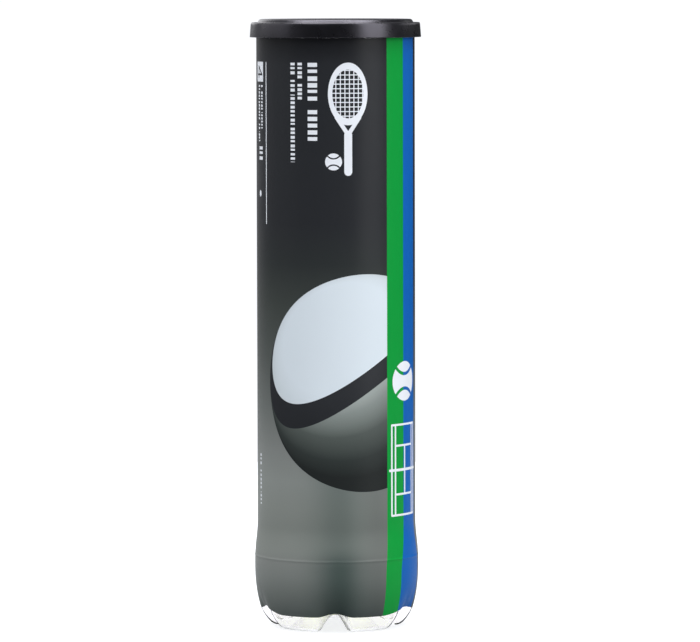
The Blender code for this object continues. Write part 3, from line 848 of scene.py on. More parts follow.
@dataclass
class CanShape:
    """The clear can's outer surface, on which the wall, the label and their meshes are built."""

    columns: int = 240
    radius: float = 36.4
    bulge_radius: float = 37.75
    bulge_z: float = 29.4
    bulge_end_z: float = 50.0
    ridge_z: float = 33.6
    ridge_height: float = 0.1
    ridge_half: float = 0.5
    feet: int = 5
    turn: float = math.radians(-3.0)
    foot_half_angle: float = math.radians(17.0)
    valley_half_angle: float = math.radians(4.0)
    foot_side_power: float = 2.15
    pad_outer: float = 27.5
    pad_inner: float = 24.0
    centre_z: float = 5.9
    valley_power: float = 2.6
    valley_side_angle: float = math.radians(56.0)
    film_room: float = 0.42  # how far the wall stands out from the plain solid's, to meet the film
    film_room_z: Point2 = (2.0, 8.0)

    def azimuths(self) -> list[float]:
        """Returns the columns' azimuths, from the back round to the back."""
        return [2 * math.pi * i / self.columns - math.pi for i in range(self.columns)]

    def wall_radius(self, z: float) -> float:
        """Returns the radius above the bulge, with the fine ridge where the mould's two parts meet."""
        if z >= self.bulge_end_z:
            return self.radius
        way = max(0.0, (z - self.bulge_z) / (self.bulge_end_z - self.bulge_z))
        eased = self.radius + (self.bulge_radius - self.radius) * 0.5 * (1 + math.cos(math.pi * way**1.2))
        return eased + self.ridge_height * max(0.0, 1 - ((z - self.ridge_z) / self.ridge_half) ** 2)

    def foot_share(self, azimuth: float) -> float:
        """Returns 0 on a valley's flat roof and 1 on a foot, eased between the two."""
        pitch = 2 * math.pi / self.feet
        off = abs((azimuth - self.turn + pitch / 2) % pitch - pitch / 2)
        return smooth_step(off, self.valley_half_angle, self.foot_half_angle)

    def foot_line(self, step: float) -> Point2:
        """Returns (radius, z) down a foot's middle: to 1 its side, to 2 its pad, to 3 its inner rise."""
        if step <= 1:
            angle = step * math.pi / 2
            power = 2 / self.foot_side_power
            reach = max(0.0, math.cos(angle)) ** power
            height = self.bulge_z * (1 - math.sin(angle) ** power)
            return self.pad_outer + (self.bulge_radius - self.pad_outer) * reach, height
        if step <= 2:
            return self.pad_outer + (self.pad_inner - self.pad_outer) * (step - 1), 0.0
        way = 3 - step
        return self.pad_inner * way, self.centre_z * (1 - way**4) ** 1.3

    def valley_line(self, step: float) -> Point2:
        """Returns (radius, z) down a valley's middle, in step with foot_line."""
        inner = self.bulge_radius * math.cos(self.valley_side_angle) ** (2 / self.valley_power)
        if step <= 1:
            radius = self.bulge_radius * math.cos(step * self.valley_side_angle) ** (2 / self.valley_power)
        else:
            radius = inner * self.foot_line(step)[0] / self.pad_outer
        reach = (1 - (radius / self.bulge_radius) ** self.valley_power) ** (1 / self.valley_power)
        return radius, self.bulge_z - (self.bulge_z - self.centre_z) * reach

    def base(self, step: float, azimuth: float, bridge: float = 0.0) -> Vector:
        """Returns a point of the base, or with a bridge above 0, of a film stretched over its valleys."""
        share = self.foot_share(azimuth)
        share += (1 - share) * bridge
        foot, valley = self.foot_line(step), self.valley_line(step)
        radius = valley[0] + (foot[0] - valley[0]) * share
        return point_at(radius, azimuth, valley[1] + (foot[1] - valley[1]) * share)

    def base_point(self, step: float, azimuth: float, offset: float, bridge: float = 0.0) -> Vector:
        """Returns a point of the base moved outwards by offset, and by the film's room above the pads."""
        here = self.base(step, azimuth, bridge)
        small = 1e-3
        above, below = max(step - small, 0.0), min(step + small, 3.0)
        along = self.base(below, azimuth, bridge) - self.base(above, azimuth, bridge)
        around = self.base(step, azimuth + small, bridge) - self.base(step, azimuth - small, bridge)
        room = self.film_room * smooth_step(here.z, *self.film_room_z)
        normal = along.cross(around)
        if normal.length < 1e-9:
            return here - Vector((0, 0, offset))
        return here + normal.normalized() * (offset + room)

    def step_at(self, azimuth: float, offset: float, z: float, bridge: float) -> float:
        """Returns the base step at which the surface moved by offset comes down to a height."""
        low, high = 0.0, 1.0
        for _ in range(24):
            middle = (low + high) / 2
            if self.base_point(middle, azimuth, offset, bridge).z > z:
                low = middle
            else:
                high = middle
        return (low + high) / 2

    def wall_ring(self, radius: float, z: float) -> list[Vector]:
        """Returns a level ring."""
        return [point_at(radius, a, z) for a in self.azimuths()]

    def wall_levels(self) -> list[float]:
        """Returns heights from just over the bulge up to the straight wall, close together at the ridge."""
        ridge = [self.ridge_z + self.ridge_half * k / 3 for k in range(-3, 4)]
        low = [31.0, 32.2]
        return low + ridge + [34.8 + (self.bulge_end_z - 34.8) * i / 9 for i in range(10)]


@dataclass
class Can:
    """The can that stays whole: its clear body and film label; its seamed end ring and sealing compound are
    built with the easy-open end.
    """

    shape: CanShape = field(default_factory=CanShape)
    wall: float = 0.6
    foot_wall: float = 1.1
    flange_radius: float = 37.4
    flange_z: Point2 = (279.0, 279.6)
    film: float = 0.09
    film_gap: float = 0.03
    bridge: float = 0.55
    label_z: Point2 = (7.4, 275.4)
    arches: tuple[tuple[float, float, float], ...] = (
        (-147.0, 1.7, 20.0),
        (-71.0, 3.0, 27.0),
        (-1.0, 1.7, 15.0),
        (66.0, 2.5, 30.0),
        (141.0, 1.7, 20.0),
    )
    overlap: float = 0.06
    overlap_arc: float = 5.0
    gate_radius: float = 1.6
    gate_drop: float = 0.5
    print_lift: float = 0.6  # the print's arcs are measured this far outside the wall

    def build(self) -> None:
        """Builds the body and label and dresses them."""
        pet = ClearPet().make()
        place(self.body(), pet, "clear_plastic", "can", "can_body")
        place(self.label(), PrintedFilm().make(), "printed_film", "can", "label_sleeve")

    def body(self) -> bpy.types.Object:
        """Returns the clear body: the outer surface from its gate mark up, the flange, then the inner one."""
        shape = self.shape
        outer_radius = shape.radius + shape.film_room
        steps = [i / 22 for i in range(23)] + [1.33, 1.66, 2.0] + [2 + i / 14 for i in range(1, 13)]
        bottom = shape.centre_z - self.gate_drop
        rings: list[list[Vector]] = [[Vector((0, 0, bottom))]]
        rings.append(shape.wall_ring(self.gate_radius * 0.7, bottom))
        rings.append(shape.wall_ring(self.gate_radius, bottom + 0.35))
        rings += [[shape.base_point(s, a, 0.0) for a in shape.azimuths()] for s in reversed(steps)]
        rings += [shape.wall_ring(shape.wall_radius(z) + shape.film_room, z) for z in shape.wall_levels()]
        height = self.flange_z[0] - 1.2 - shape.bulge_end_z
        straight = [shape.bulge_end_z + height * i / 12 for i in range(1, 13)]
        rings += [shape.wall_ring(outer_radius, z) for z in straight]
        low, high = self.flange_z
        lip = rounded(
            [
                (outer_radius, low - 0.8),
                (outer_radius, low),
                (self.flange_radius, low),
                (self.flange_radius, high),
                (outer_radius - self.wall, high),
                (outer_radius - self.wall, low - 0.8),
            ],
            [0, 0.25, 0.25, 0.25, 0.3, 0],
            False,
        )
        rings += [shape.wall_ring(r, z) for r, z in lip]
        inside = shape.film_room - self.wall
        rings += [shape.wall_ring(outer_radius - self.wall, z) for z in reversed(straight)]
        rings += [shape.wall_ring(shape.wall_radius(z) + inside, z) for z in reversed(shape.wall_levels())]
        for step in steps:
            thick = smooth_step(step, 0.3, 0.8) * (1 - smooth_step(step, 2.2, 2.8))
            depth = self.wall + (self.foot_wall - self.wall) * thick
            rings.append([shape.base_point(step, a, -depth) for a in shape.azimuths()])
        rings.append([Vector((0, 0, shape.centre_z + self.wall))])
        return skin("can_body_clear", rings, sharp=60.0)

    def label_bottom(self, azimuth: float) -> float:
        """Returns the height of the film's lower edge, which is drawn up in an arch over each valley."""
        level = self.label_z[0]
        for centre, height, half in self.arches:
            off = abs(math.degrees(azimuth) - centre) / half
            level += height * math.cos(min(off, 1.0) * math.pi / 2) ** 2
        return level

    def label(self) -> bpy.types.Object:
        """Returns the film sleeve, with its glued overlap at the back and its print map."""
        shape = self.shape
        lift = self.film_gap + self.film
        edges = [(a, shape.step_at(a, lift, self.label_bottom(a), self.bridge)) for a in shape.azimuths()]

        def face(offset: float, outer: bool) -> list[list[Vector]]:
            """Returns one face's rings from the lower edge up."""
            rings = []
            for level in range(20, -1, -1):
                rings.append([shape.base_point(end * level / 20, a, offset, self.bridge) for a, end in edges])
            wall = [(shape.wall_radius(z), z) for z in shape.wall_levels()]
            straight = (self.label_z[1] - shape.bulge_end_z) / 40
            wall += [(shape.radius, shape.bulge_end_z + straight * i) for i in range(1, 41)]
            for radius, z in wall:
                rings.append(shape.wall_ring(radius + shape.film_room + offset, z))
            if outer:
                for ring in rings:
                    for azimuth, point in zip(shape.azimuths(), ring):
                        if azimuth < -math.pi + self.overlap_arc / shape.radius:
                            point += Vector((math.sin(azimuth), -math.cos(azimuth), 0)) * self.overlap
            return rings

        def on_print(column: int, point: Vector) -> Point2:
            """Returns a point's arc and height."""
            azimuth = 2 * math.pi * column / shape.columns - math.pi
            return azimuth * (shape.radius + self.print_lift), point.z

        rings = face(lift, True) + list(reversed(face(self.film_gap, False)))
        return skin("label_film", rings, closed=True, print_of=on_print, sharp=60.0)


# Easy-open end


@dataclass
class EasyOpenEnd:
    """The metal end: the ring that stays seamed on, the compound in its seam, the tear panel and its tab."""

    sheet: float = 0.3
    seam_radius: float = 38.2
    seam_z: Point2 = (278.3, 281.3)
    lip_radius: float = 36.95
    chuck_radius: float = 34.9
    chuck_lip: float = 0.4
    ring_bottom: float = 276.1
    aperture: float = 34.0
    compound: Point2 = (35.65, 37.4)
    compound_z: float = 279.95
    compound_height: float = 0.6
    panel_radius: float = 33.75
    panel_top: float = 276.6
    panel_sheet: float = 0.3
    groove: Point2 = (28.0, 32.4)
    groove_depth: float = 0.85
    inner_bead: Point2 = (14.5, 17.5)
    well_y: float = -3.0
    well_half: Point2 = (10.5, 12.0)
    well_depth: float = 0.55
    rivet_y: float = -25.6
    tab_low: float = 277.0
    tab_height: float = 1.0
    island_height: float = 0.5

    def build(self) -> None:
        """Builds and dresses every metal piece and the compound."""
        metal = EndSheet().make()
        compound = SoftSolid("Sealing compound", "#7f7868", "#a79f8c", 0.75, 0.6).make()
        place(self.ring(), metal, "end_metal", "can", "end_ring")
        place(self.compound_ring(), compound, "sealing_compound", "can", "seam_compound")
        place(self.panel(), metal, "end_metal", "end_panel", "tear_panel")
        place(self.rivet(), metal, "end_metal", "end_panel")
        place(self.island(), metal, "end_metal", "end_panel", "tab_island")
        place(self.tab(), metal, "end_metal", "tab", "pull_tab")

    def ring(self) -> bpy.types.Object:
        """Returns the seamed ring: hook, outer wall, rolled top, chuck wall and the opening's edge."""
        low, top = self.seam_z
        sheet, inner_top = self.sheet, top - self.sheet
        profile = [
            (self.seam_radius, top),
            (self.seam_radius, low),
            (self.lip_radius, low),
            (self.lip_radius, low + sheet),
            (self.seam_radius - sheet, low + sheet),
            (self.seam_radius - sheet, inner_top),
            (self.chuck_radius + self.chuck_lip, inner_top),
            (self.chuck_radius + self.chuck_lip, self.ring_bottom),
            (self.aperture, self.ring_bottom),
            (self.aperture, self.ring_bottom + sheet),
            (self.chuck_radius, self.ring_bottom + sheet),
            (self.chuck_radius, top),
        ]
        radii = [0.75, 0.6, 0.1, 0.1, 0.2, 0.4, 0.3, 0.5, 0.1, 0.1, 0.3, 0.6]
        return turned("end_ring_sheet", rounded(profile, radii, True, 5), True)

    def compound_ring(self) -> bpy.types.Object:
        """Returns the bead of compound inside the seam."""
        inner, outer = self.compound
        low, high = self.compound_z, self.compound_z + self.compound_height
        profile = [(outer, high), (outer, low), (inner, low), (inner, high)]
        return turned("seam_compound_bead", rounded(profile, [0.25] * 4, True), True, 96)

    def panel(self) -> bpy.types.Object:
        """Returns the tear panel with its edge, sunk ring, raised bead and finger well."""
        inner, outer = self.groove
        low_bead, high_bead = self.inner_bead
        line = [
            (self.panel_radius, 0.0),
            (outer, 0.0),
            (outer - 0.6, -self.groove_depth),
            (inner + 0.6, -self.groove_depth),
            (inner, 0.0),
        ]
        line += [(inner - 1.2 * i, 0.0) for i in range(1, 8)]
        line += [(high_bead, 0.0), ((low_bead + high_bead) / 2, 0.35), (low_bead, 0.0)]
        line += [(low_bead - 1.3 * i, 0.0) for i in range(1, 11)]
        radii = [0.0, 0.5, 0.5, 0.5, 0.5] + [0.0] * 7 + [0.8, 1.2, 0.8] + [0.0] * 10
        eased = rounded(line, radii, False, 5)
        top = [(r, self.panel_top + rise) for r, rise in eased]
        under = [(r, self.panel_top - self.panel_sheet + rise) for r, rise in eased]
        profile = [(0.0, self.panel_top), *reversed(top), *under, (0.0, self.panel_top - self.panel_sheet)]
        made = turned("tear_panel_sheet", profile, False)
        for vertex in made.data.vertices:
            x, y = vertex.co.x / MM, vertex.co.y / MM
            reach = math.hypot(x / self.well_half[0], (y - self.well_y) / self.well_half[1])
            vertex.co.z -= self.well_depth * MM * (1 - smooth_step(reach, 0.6, 1.0))
        return made

    def rivet(self) -> bpy.types.Object:
        """Returns the rivet drawn up from the panel, its head pressed flat over the tab's tongue."""
        base = self.panel_top - 0.1
        head = self.tab_low + 0.9
        profile = [(0.0, head + 0.35), (1.3, head + 0.35), (1.6, head + 0.6), (2.9, head + 0.6), (2.9, head)]
        profile += [(1.6, head), (1.6, base + 0.3), (2.1, base), (0.0, base)]
        made = turned("rivet", rounded(profile, [0, 0.2, 0.2, 0.3, 0.2, 0.1, 0.3, 0.1, 0], False), False, 48)
        made.data.transform(Matrix.Translation((0.0, self.rivet_y * MM, 0.0)))
        return made

    def island(self) -> bpy.types.Object:
        """Returns the tab's tongue under the rivet's head."""
        radius, neck, end_y = 3.9, 2.6, -29.8
        start = math.asin(neck / radius)
        sweep = 2 * math.pi - 2 * start
        disc = [start - math.pi / 2 + sweep * i / 40 for i in range(41)]
        outline = [(radius * math.cos(t), self.rivet_y + radius * math.sin(t)) for t in disc]
        outline += [(-neck, end_y), (neck, end_y)]
        hole = ring_outline((0, self.rivet_y), (1.85, 1.85), 32)
        return plate("tab_tongue", [outline, hole], self.tab_low, self.island_height, 0.12)

    def tab(self) -> bpy.types.Object:
        """Returns the ring tab, its edges curled round, with the finger hole and the room for the rivet."""
        radius, centre_y, nose, nose_y = 11.0, -5.6, 3.6, -28.5
        half_turn = [math.pi * i / 28 for i in range(29)]
        ring = [(radius * math.cos(t), centre_y + radius * math.sin(t)) for t in half_turn]
        corner = [math.pi + math.pi / 2 * i / 8 for i in range(9)]
        left = [(-7.2, self.rivet_y + 0.5)]
        left += [(-nose + nose * math.cos(t), nose_y + nose * math.sin(t)) for t in corner]
        right = [(-x, y) for x, y in reversed(left)]
        holes = [ring_outline((0, -6.2), (7.6, 8.2), 48), ring_outline((0, self.rivet_y), (5.0, 5.0), 40)]
        return plate("pull_tab_ring", [ring + left + right, *holes], self.tab_low, self.tab_height, 0.34)


def ring_outline(centre: Point2, half: Point2, count: int) -> list[Point2]:
    """Returns points round an ellipse."""
    turns = (2 * math.pi * i / count for i in range(count))
    return [(centre[0] + half[0] * math.cos(t), centre[1] + half[1] * math.sin(t)) for t in turns]


def plate(
    name: str, outlines: Sequence[Sequence[Point2]], low: float, height: float, curl: float
) -> bpy.types.Object:
    """Makes a flat plate with holes and rounded edges.

    Args:
        name: object name.
        outlines: the outer outline, then each hole's.
        low: height of its underside.
        height: its thickness.
        curl: radius of the rounding along every edge.

    Returns:
        The plate as a mesh object.
    """
    curve = bpy.data.curves.new(name, "CURVE")
    curve.dimensions = "2D"
    curve.fill_mode = "BOTH"
    curve.extrude = (height / 2 - curl) * MM
    curve.bevel_depth = curl * MM
    curve.bevel_resolution = 3
    curve.offset = -curl * MM
    for outline in outlines:
        spline = curve.splines.new("POLY")
        spline.points.add(len(outline) - 1)
        for point, (x, y) in zip(spline.points, outline):
            point.co = (x * MM, y * MM, 0.0, 1.0)
        spline.use_cyclic_u = True
    holder = bpy.data.objects.new(name + "_outline", curve)
    bpy.context.scene.collection.objects.link(holder)
    mesh = bpy.data.meshes.new_from_object(holder.evaluated_get(bpy.context.evaluated_depsgraph_get()))
    bpy.data.objects.remove(holder)
    bpy.data.curves.remove(curve)
    mesh.transform(Matrix.Translation((0.0, 0.0, (low + height / 2) * MM)))
    shape = bmesh.new()
    shape.from_mesh(mesh)
    bmesh.ops.remove_doubles(shape, verts=shape.verts, dist=1e-6)
    shape.to_mesh(mesh)
    shape.free()
    return finished_object(name, mesh, 50.0)


# Lid


@dataclass
class SnapLid:
    """The black snap lid."""

    top: float = 283.9
    shoulder: float = 282.4
    underside: float = 281.6
    bottom: float = 275.5
    disc_radius: float = 36.4
    top_radius: float = 39.4
    bottom_radius: float = 39.95
    wall: float = 0.9
    bead_radius: float = 38.45
    bead_z: float = 277.1

    def build(self) -> None:
        """Builds the lid and dresses it."""
        place(self.shell(), LidPolyethylene().make(), "black_plastic", "lid", "lid")

    def shell(self) -> bpy.types.Object:
        """Returns the lid: gate mark, raised disc, shoulder, skirt, snap bead and hollow underside."""
        inside = self.disc_radius - 1.0
        skirt_inside = self.bottom_radius - self.wall
        profile = [
            (0.0, self.top - 0.15),
            (1.6, self.top - 0.15),
            (1.9, self.top),
            (self.disc_radius - 0.9, self.top),
            (self.disc_radius, self.shoulder),
            (self.top_radius - 0.15, self.shoulder),
            (self.top_radius + 0.1, self.shoulder - 0.9),
            (self.bottom_radius, self.bottom),
            (skirt_inside, self.bottom),
            (self.bead_radius, self.bead_z - 0.4),
            (self.bead_radius, self.bead_z + 0.1),
            (skirt_inside - 0.2, self.bead_z + 0.7),
            (self.top_radius - self.wall, self.underside),
            (inside, self.underside),
            (inside, self.top - 1.1),
            (0.0, self.top - 1.1),
        ]
        radii = [0, 0.1, 0.15, 0.8, 0.2, 0.6, 0.5, 0.25, 0.2, 0.4, 0.4, 0.4, 0.6, 0.3, 0.5, 0]
        return turned("snap_lid", rounded(profile, radii, False, 5), False, 192)


# Balls


class FeltPanel(Enum):
    """A ball's two felt panels, with the turn about its own X axis that brings one onto the other."""

    A = 0.0
    B = math.pi


@dataclass
class BallShape:
    """The shared shape of the balls: seam curve, felt panels, seam bead and the fluff on the felt."""

    radius: float = 33.3
    seam_a: float = 0.73
    seam_half: float = 0.95
    rows: int = 64
    columns: int = 26
    felt_inner: float = 31.0
    edge_dip: float = 0.8
    edge_reach: float = 0.9
    pile: float = 0.16
    fluff_count: int = 2600
    fluff_length: Point2 = (0.7, 1.7)
    fluff_width: float = 0.11

    def seam_point(self, turn: float, offset: float = 0.0) -> Vector:
        """Returns a unit vector on the seam, moved sideways by an arc of offset over the ball's radius."""
        a, b = self.seam_a, 1 - self.seam_a
        rise = 2 * math.sqrt(a * b)
        here = Vector(
            (
                a * math.cos(turn) + b * math.cos(3 * turn),
                a * math.sin(turn) - b * math.sin(3 * turn),
                rise * math.sin(2 * turn),
            )
        )
        along = Vector(
            (
                -a * math.sin(turn) - 3 * b * math.sin(3 * turn),
                a * math.cos(turn) - 3 * b * math.cos(3 * turn),
                2 * rise * math.cos(2 * turn),
            )
        )
        side = here.cross(along).normalized()
        return here * math.cos(offset / self.radius) + side * math.sin(offset / self.radius)

    def felt_side(self, direction: Vector) -> float:
        """Returns a value below 0 on panel A and above 0 on panel B."""
        a, b = self.seam_a, 1 - self.seam_a
        level = direction.z / (2 * math.sqrt(a * b))
        return 2 * direction.x * direction.y - (a * a - 2 * a * b - 3 * b * b) * level - 4 * b * b * level**3

    def seam_distance(self, direction: Vector) -> float:
        """Returns how far a direction is from the seam, in millimetres over the ball."""
        nearest = max(direction.dot(point) for point in self.seam_samples())
        return math.acos(min(1.0, nearest)) * self.radius

    def seam_samples(self) -> list[Vector]:
        """Returns points along the seam, worked out once."""
        if not hasattr(self, "_samples"):
            self._samples = [self.seam_point(2 * math.pi * i / 240) for i in range(240)]
        return self._samples

    def felt_mesh(self) -> bpy.types.Mesh:
        """Returns panel A: piled outer face that dips at its edge, plain inner face, joined along the rim."""
        rows: list[list[Vector]] = []
        for row in range(self.rows + 1):
            turn = -math.pi / 4 + math.pi * row / self.rows
            start = self.seam_point(turn, self.seam_half + 0.1)
            end = Vector((-start.y, -start.x, start.z))
            if row in (0, self.rows):
                rows.append([start])
            else:
                rows.append([start.slerp(end, i / self.columns) for i in range(self.columns + 1)])
        flat = [point for row in rows for point in row]
        starts = [sum(len(row) for row in rows[:i]) for i in range(len(rows))]
        outer = []
        for direction in flat:
            edge = max(0.0, self.seam_distance(direction) - self.seam_half - 0.1)
            dip = self.edge_dip * math.exp(-((edge / self.edge_reach) ** 1.5))
            rough = noise.noise(direction * 16.0) + 0.6 * noise.noise(direction * 40.0)
            outer.append(direction * min(self.radius, self.radius - 0.12 - dip + self.pile * rough))
        points = outer + [direction * self.felt_inner for direction in flat]
        sheet = []
        for low in range(self.rows):
            high = low + 1
            for i in range(self.columns):
                a, b = starts[low] + i, starts[low] + i + 1
                c, d = starts[high] + i + 1, starts[high] + i
                if len(rows[low]) == 1:
                    sheet.append((starts[low], c, d))
                elif len(rows[high]) == 1:
                    sheet.append((a, b, starts[high]))
                else:
                    sheet.append((a, b, c, d))
        inner = len(flat)
        faces = sheet + [tuple(inner + i for i in reversed(face)) for face in sheet]
        far_ends = [start + len(row) - 1 for start, row in zip(starts, rows)]
        rim = starts + list(reversed(far_ends[1:-1]))
        for i, here in enumerate(rim):
            there = rim[(i + 1) % len(rim)]
            faces.append((here, there, inner + there, inner + here))
        return mesh_of("felt_panel", points, faces)

    def fluff_mesh(self) -> bpy.types.Mesh:
        """Returns panel A's loose fibre ends: thin three-sided spikes, each leaning its own way."""
        draw = random.Random(41)
        points: list[Vector] = []
        faces = []
        while len(faces) < 4 * self.fluff_count:
            direction = Vector((draw.gauss(0, 1), draw.gauss(0, 1), draw.gauss(0, 1))).normalized()
            if self.felt_side(direction) > 0 or self.seam_distance(direction) < 1.6:
                continue
            lean = Vector((draw.gauss(0, 1), draw.gauss(0, 1), draw.gauss(0, 1))) * 0.45
            root = direction * (self.radius - 0.55)
            length = draw.uniform(*self.fluff_length)
            tip = root + (direction + lean).normalized() * length
            tip = tip.normalized() * min(tip.length, self.radius)
            across = direction.orthogonal().normalized() * self.fluff_width
            other = direction.cross(across)
            first = len(points)
            points += [root + across, root - across * 0.5 + other * 0.87]
            points += [root - across * 0.5 - other * 0.87, tip]
            faces += [(first, first + 2, first + 1)]
            faces += [(first + i, first + (i + 1) % 3, first + 3) for i in range(3)]
        return mesh_of("felt_fluff", points, faces)

    def seam_mesh(self) -> bpy.types.Mesh:
        """Returns the closed bead of cement between the felts, a shallow channel on its outer side."""
        low, edge, lip = 30.6, 32.2, 32.35
        corners = [(low, -1.0), (edge, -1.0), (lip, -0.6), (edge, 0.0), (lip, 0.6), (edge, 1.0), (low, 1.0)]
        count = 200
        points, faces = [], []
        for i in range(count):
            turn = 2 * math.pi * i / count
            for radius, side in corners:
                points.append(self.seam_point(turn, side * self.seam_half) * radius)
            for j in range(len(corners)):
                k = (j + 1) % len(corners)
                here, there = i * len(corners), ((i + 1) % count) * len(corners)
                faces.append((here + j, here + k, there + k, there + j))
        return mesh_of("seam_bead", points, faces)


@dataclass
class Balls:
    """The four balls in the can, each turned its own way about its centre."""

    count: int = 4
    shape: BallShape = field(default_factory=BallShape)

    def build(self, nodes: dict[str, bpy.types.Object]) -> None:
        """Builds the balls from shared meshes.

        Args:
            nodes: the frame's nodes, whose core halves stay and get their rubber.
        """
        felt = OpticFelt().make()
        rubber = SoftSolid("Moulded core rubber", "#1b1b1d", "#2b2b2e", 0.8, 1.2).make()
        cement = SoftSolid("Cured seam cement", "#b9bcae", "#d5d8cb", 0.7, 0.8).make()
        panel, fluff, seam = self.shape.felt_mesh(), self.shape.fluff_mesh(), self.shape.seam_mesh()
        for number in range(1, self.count + 1):
            ball = f"ball_{number}"
            halves = [f"{ball}_core_half_{half}" for half in "ab"]
            for half in halves:
                for slot in nodes[half].material_slots:
                    slot.material = rubber
            corners = [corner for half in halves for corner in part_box(half)]
            low, high = ([limit(c[i] for c in corners) for i in range(3)] for limit in (min, max))
            centre = Vector([(a + b) / 2 for a, b in zip(low, high)])
            turn = Euler((0.6 * number, 0.9 * number - 0.5, 1.3 * number)).to_matrix().to_4x4()
            for side in FeltPanel:
                half_turn = turn @ Euler((side.value, 0.0, 0.0)).to_matrix().to_4x4()
                letter = side.name.lower()
                for name, mesh in ((f"{ball}_felt_{letter}", panel), (f"{ball}_fluff_{letter}", fluff)):
                    piece = finished_object(name, mesh.copy(), 70.0)
                    piece.data.transform(half_turn)
                    piece.data.transform(Matrix.Translation(centre))
                    stands_for = [f"{ball}_felt_panel_{letter}"] if mesh is panel else []
                    place(piece, felt, "yellow_felt", ball, *stands_for)
            bead = finished_object(f"{ball}_seam_bead", seam.copy(), 50.0)
            bead.data.transform(turn)
            bead.data.transform(Matrix.Translation(centre))
            place(bead, cement, "seam_cement", ball, f"{ball}_seam")


# Studio


@dataclass(frozen=True)
class Softbox:
    """A soft rectangular lamp: where it hangs, how big it is and how bright its face is."""

    name: str
    azimuth: float
    distance: float
    height: float
    size: Point2
    radiance: float
    colour: str = "#ffffff"

    def hang(self, aim: Vector) -> None:
        """Adds the lamp, turned to face the aim.

        Args:
            aim: what it faces, in metres.
        """
        lamp = bpy.data.lights.new(self.name, "AREA")
        lamp.shape = "RECTANGLE"
        lamp.size, lamp.size_y = self.size
        lamp.energy = self.radiance * math.pi * self.size[0] * self.size[1]
        lamp.color = linear(self.colour)[:3]
        holder = bpy.data.objects.new(self.name, lamp)
        turn = math.radians(self.azimuth)
        holder.location = point_at(self.distance, turn, self.height)
        holder.rotation_euler = (aim - holder.location).to_track_quat("-Z", "Y").to_euler()
        holder.visible_camera = holder.visible_transmission = False
        bpy.context.scene.collection.objects.link(holder)


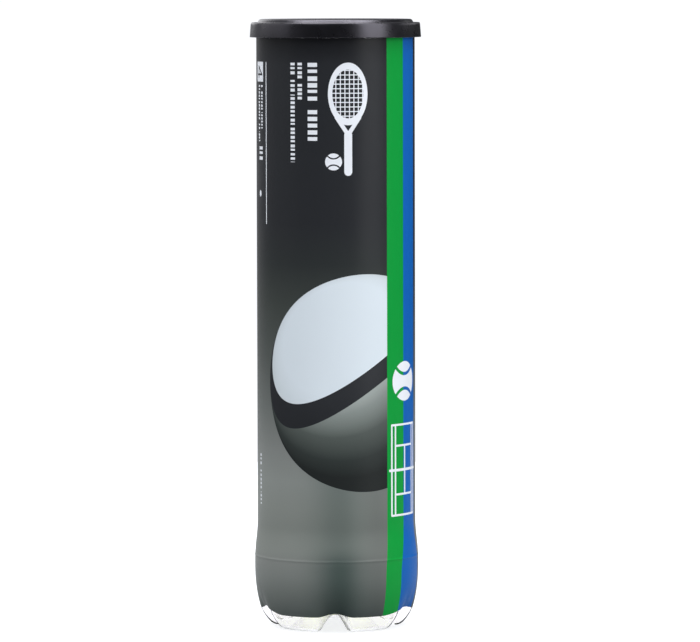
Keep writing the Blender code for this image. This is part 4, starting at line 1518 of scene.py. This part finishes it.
@dataclass
class Studio:
    """White table and backdrop, softboxes above the can's height, and the camera."""

    camera_place: tuple[float, float, float] = (0.0065, -2.37, 0.304)
    camera_aim: tuple[float, float, float] = (0.0065, 0.0, 0.1428)
    lens: float = 261.1
    roll: float = math.radians(-0.13)
    floor_radius: float = 0.8
    fill: float = 0.49
    backdrop: Point2 = (1.05, 1.17)  # looked at, and looked at through clear plastic
    table_glow: Point2 = (0.85, 0.96)
    walls: tuple[Point2, ...] = (
        (-180.0, 0.30), (-150.0, 0.40), (-128.0, 0.30), (-100.0, 0.12),
        (-60.0, 0.16), (-35.0, 0.03), (20.0, 0.02), (60.0, 0.10),
        (150.0, 0.02), (168.0, 0.10), (180.0, 0.30),
    )
    boxes: tuple[Softbox, ...] = (
        Softbox("right_softbox", 53.0, 1.8, 0.85, (1.25, 1.5), 3.1),
        Softbox("left_softbox", -94.0, 1.9, 0.95, (2.2, 1.3), 0.72),
        Softbox("front_softbox", -30.0, 2.3, 2.3, (1.6, 0.9), 3.5),
        Softbox("top_softbox", -6.0, 0.2, 2.1, (2.7, 1.3), 6.9),
        Softbox("right_back_softbox", 125.0, 1.9, 0.8, (1.6, 0.6), 0.9),
        Softbox("back_softbox", -158.0, 1.9, 0.9, (1.2, 1.1), 1.3),
    )

    def build(self) -> None:
        """Sets up the world, floor, lamps and camera."""
        bpy.context.scene.view_settings.view_transform = "Standard"
        self.world()
        self.floor()
        for box in self.boxes:
            box.hang(Vector((0.0, 0.0, 0.14)))
        self.camera()

    def world(self) -> None:
        """Makes the room: a white backdrop behind the can, and a dark room in front that looks white."""
        world = bpy.data.worlds.new("studio")
        world.use_nodes = True
        tree = world.node_tree
        way = add(tree, "TexCoord").outputs["Generated"]
        part = add(tree, "SeparateXYZ", way)
        forward = add(tree, "Math", part.outputs[1], -1.0, operation="MULTIPLY")
        azimuth = add(tree, "Math", part.outputs[0], forward, operation="ARCTAN2")
        turn = add(tree, "MapRange", azimuth, -math.pi, math.pi, 0.0, 1.0)
        walls = add(tree, "ValToRGB", turn)
        fill_ramp(walls.color_ramp, [(0.5 + angle / 360, grey(level)) for angle, level in self.walls])
        rays = add(tree, "LightPath").outputs
        room = add(tree, "Mix", named={0: rays["Is Diffuse Ray"], 2: walls.outputs[0], 3: self.fill})
        seen, white = self.looked_at(tree, rays, self.backdrop)
        level = add(tree, "Mix", named={0: seen, 2: room.outputs[0], 3: white})
        feed(tree, tree.nodes["Background"], {"Color": linear("#fbfcff"), "Strength": level})
        bpy.context.scene.world = world

    def looked_at(self, tree: bpy.types.NodeTree, rays: Any, levels: Point2) -> tuple[Any, Any]:
        """Finds what the camera looks at, straight or through clear plastic.

        Args:
            tree: node tree to add to.
            rays: the outputs of its Light Path node.
            levels: brightness when looked at straight, and through clear plastic.

        Returns:
            A node that is 1 on what is looked at, and one that gives its brightness.
        """
        depth = rays["Transmission Depth"]
        seen = add(tree, "Math", rays["Is Camera Ray"], depth, use_clamp=True)
        return seen, add(tree, "MapRange", depth, 0.0, 1.0, *levels)

    def floor(self) -> None:
        """Lays the white table."""
        mesh = bpy.data.meshes.new("table")
        shape = bmesh.new()
        bmesh.ops.create_circle(shape, cap_ends=True, segments=96, radius=self.floor_radius)
        shape.to_mesh(mesh)
        shape.free()
        table = bpy.data.objects.new("table", mesh)
        bpy.context.scene.collection.objects.link(table)
        made, tree = new_material("Back-lit opal acrylic")
        dress(tree, Base_Color=linear("#8c8e90"), Roughness=0.6, Specular_IOR_Level=0.2)
        dress(tree, Emission_Color=linear("#fbfcff"))
        seen, white = self.looked_at(tree, add(tree, "LightPath").outputs, self.table_glow)
        glow = add(tree, "Math", seen, white, operation="MULTIPLY")
        dress(tree, Emission_Strength=glow)
        mesh.materials.append(made)

    def camera(self) -> None:
        """Sets the camera far off with a long lens, a little above the can."""
        data = bpy.data.cameras.new("camera")
        data.lens = self.lens
        data.sensor_width = 36.0
        data.clip_end = 100.0
        holder = bpy.data.objects.new("camera", data)
        holder.location = self.camera_place
        aim = Vector(self.camera_aim) - Vector(self.camera_place)
        facing = aim.to_track_quat("-Z", "Y").to_matrix() @ Matrix.Rotation(self.roll, 3, "Z")
        holder.rotation_euler = facing.to_euler()
        bpy.context.scene.collection.objects.link(holder)
        bpy.context.scene.camera = holder


def main() -> None:
    """Builds every sub-assembly round the frame, then the studio, and notes the sizes."""
    logging.basicConfig(level=logging.INFO, format="%(message)s")
    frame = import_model()
    Can().build()
    EasyOpenEnd().build()
    SnapLid().build()
    Balls().build(frame["nodes"])
    Studio().build()
    bpy.context.view_layer.update()


if __name__ == "__main__":
    main()
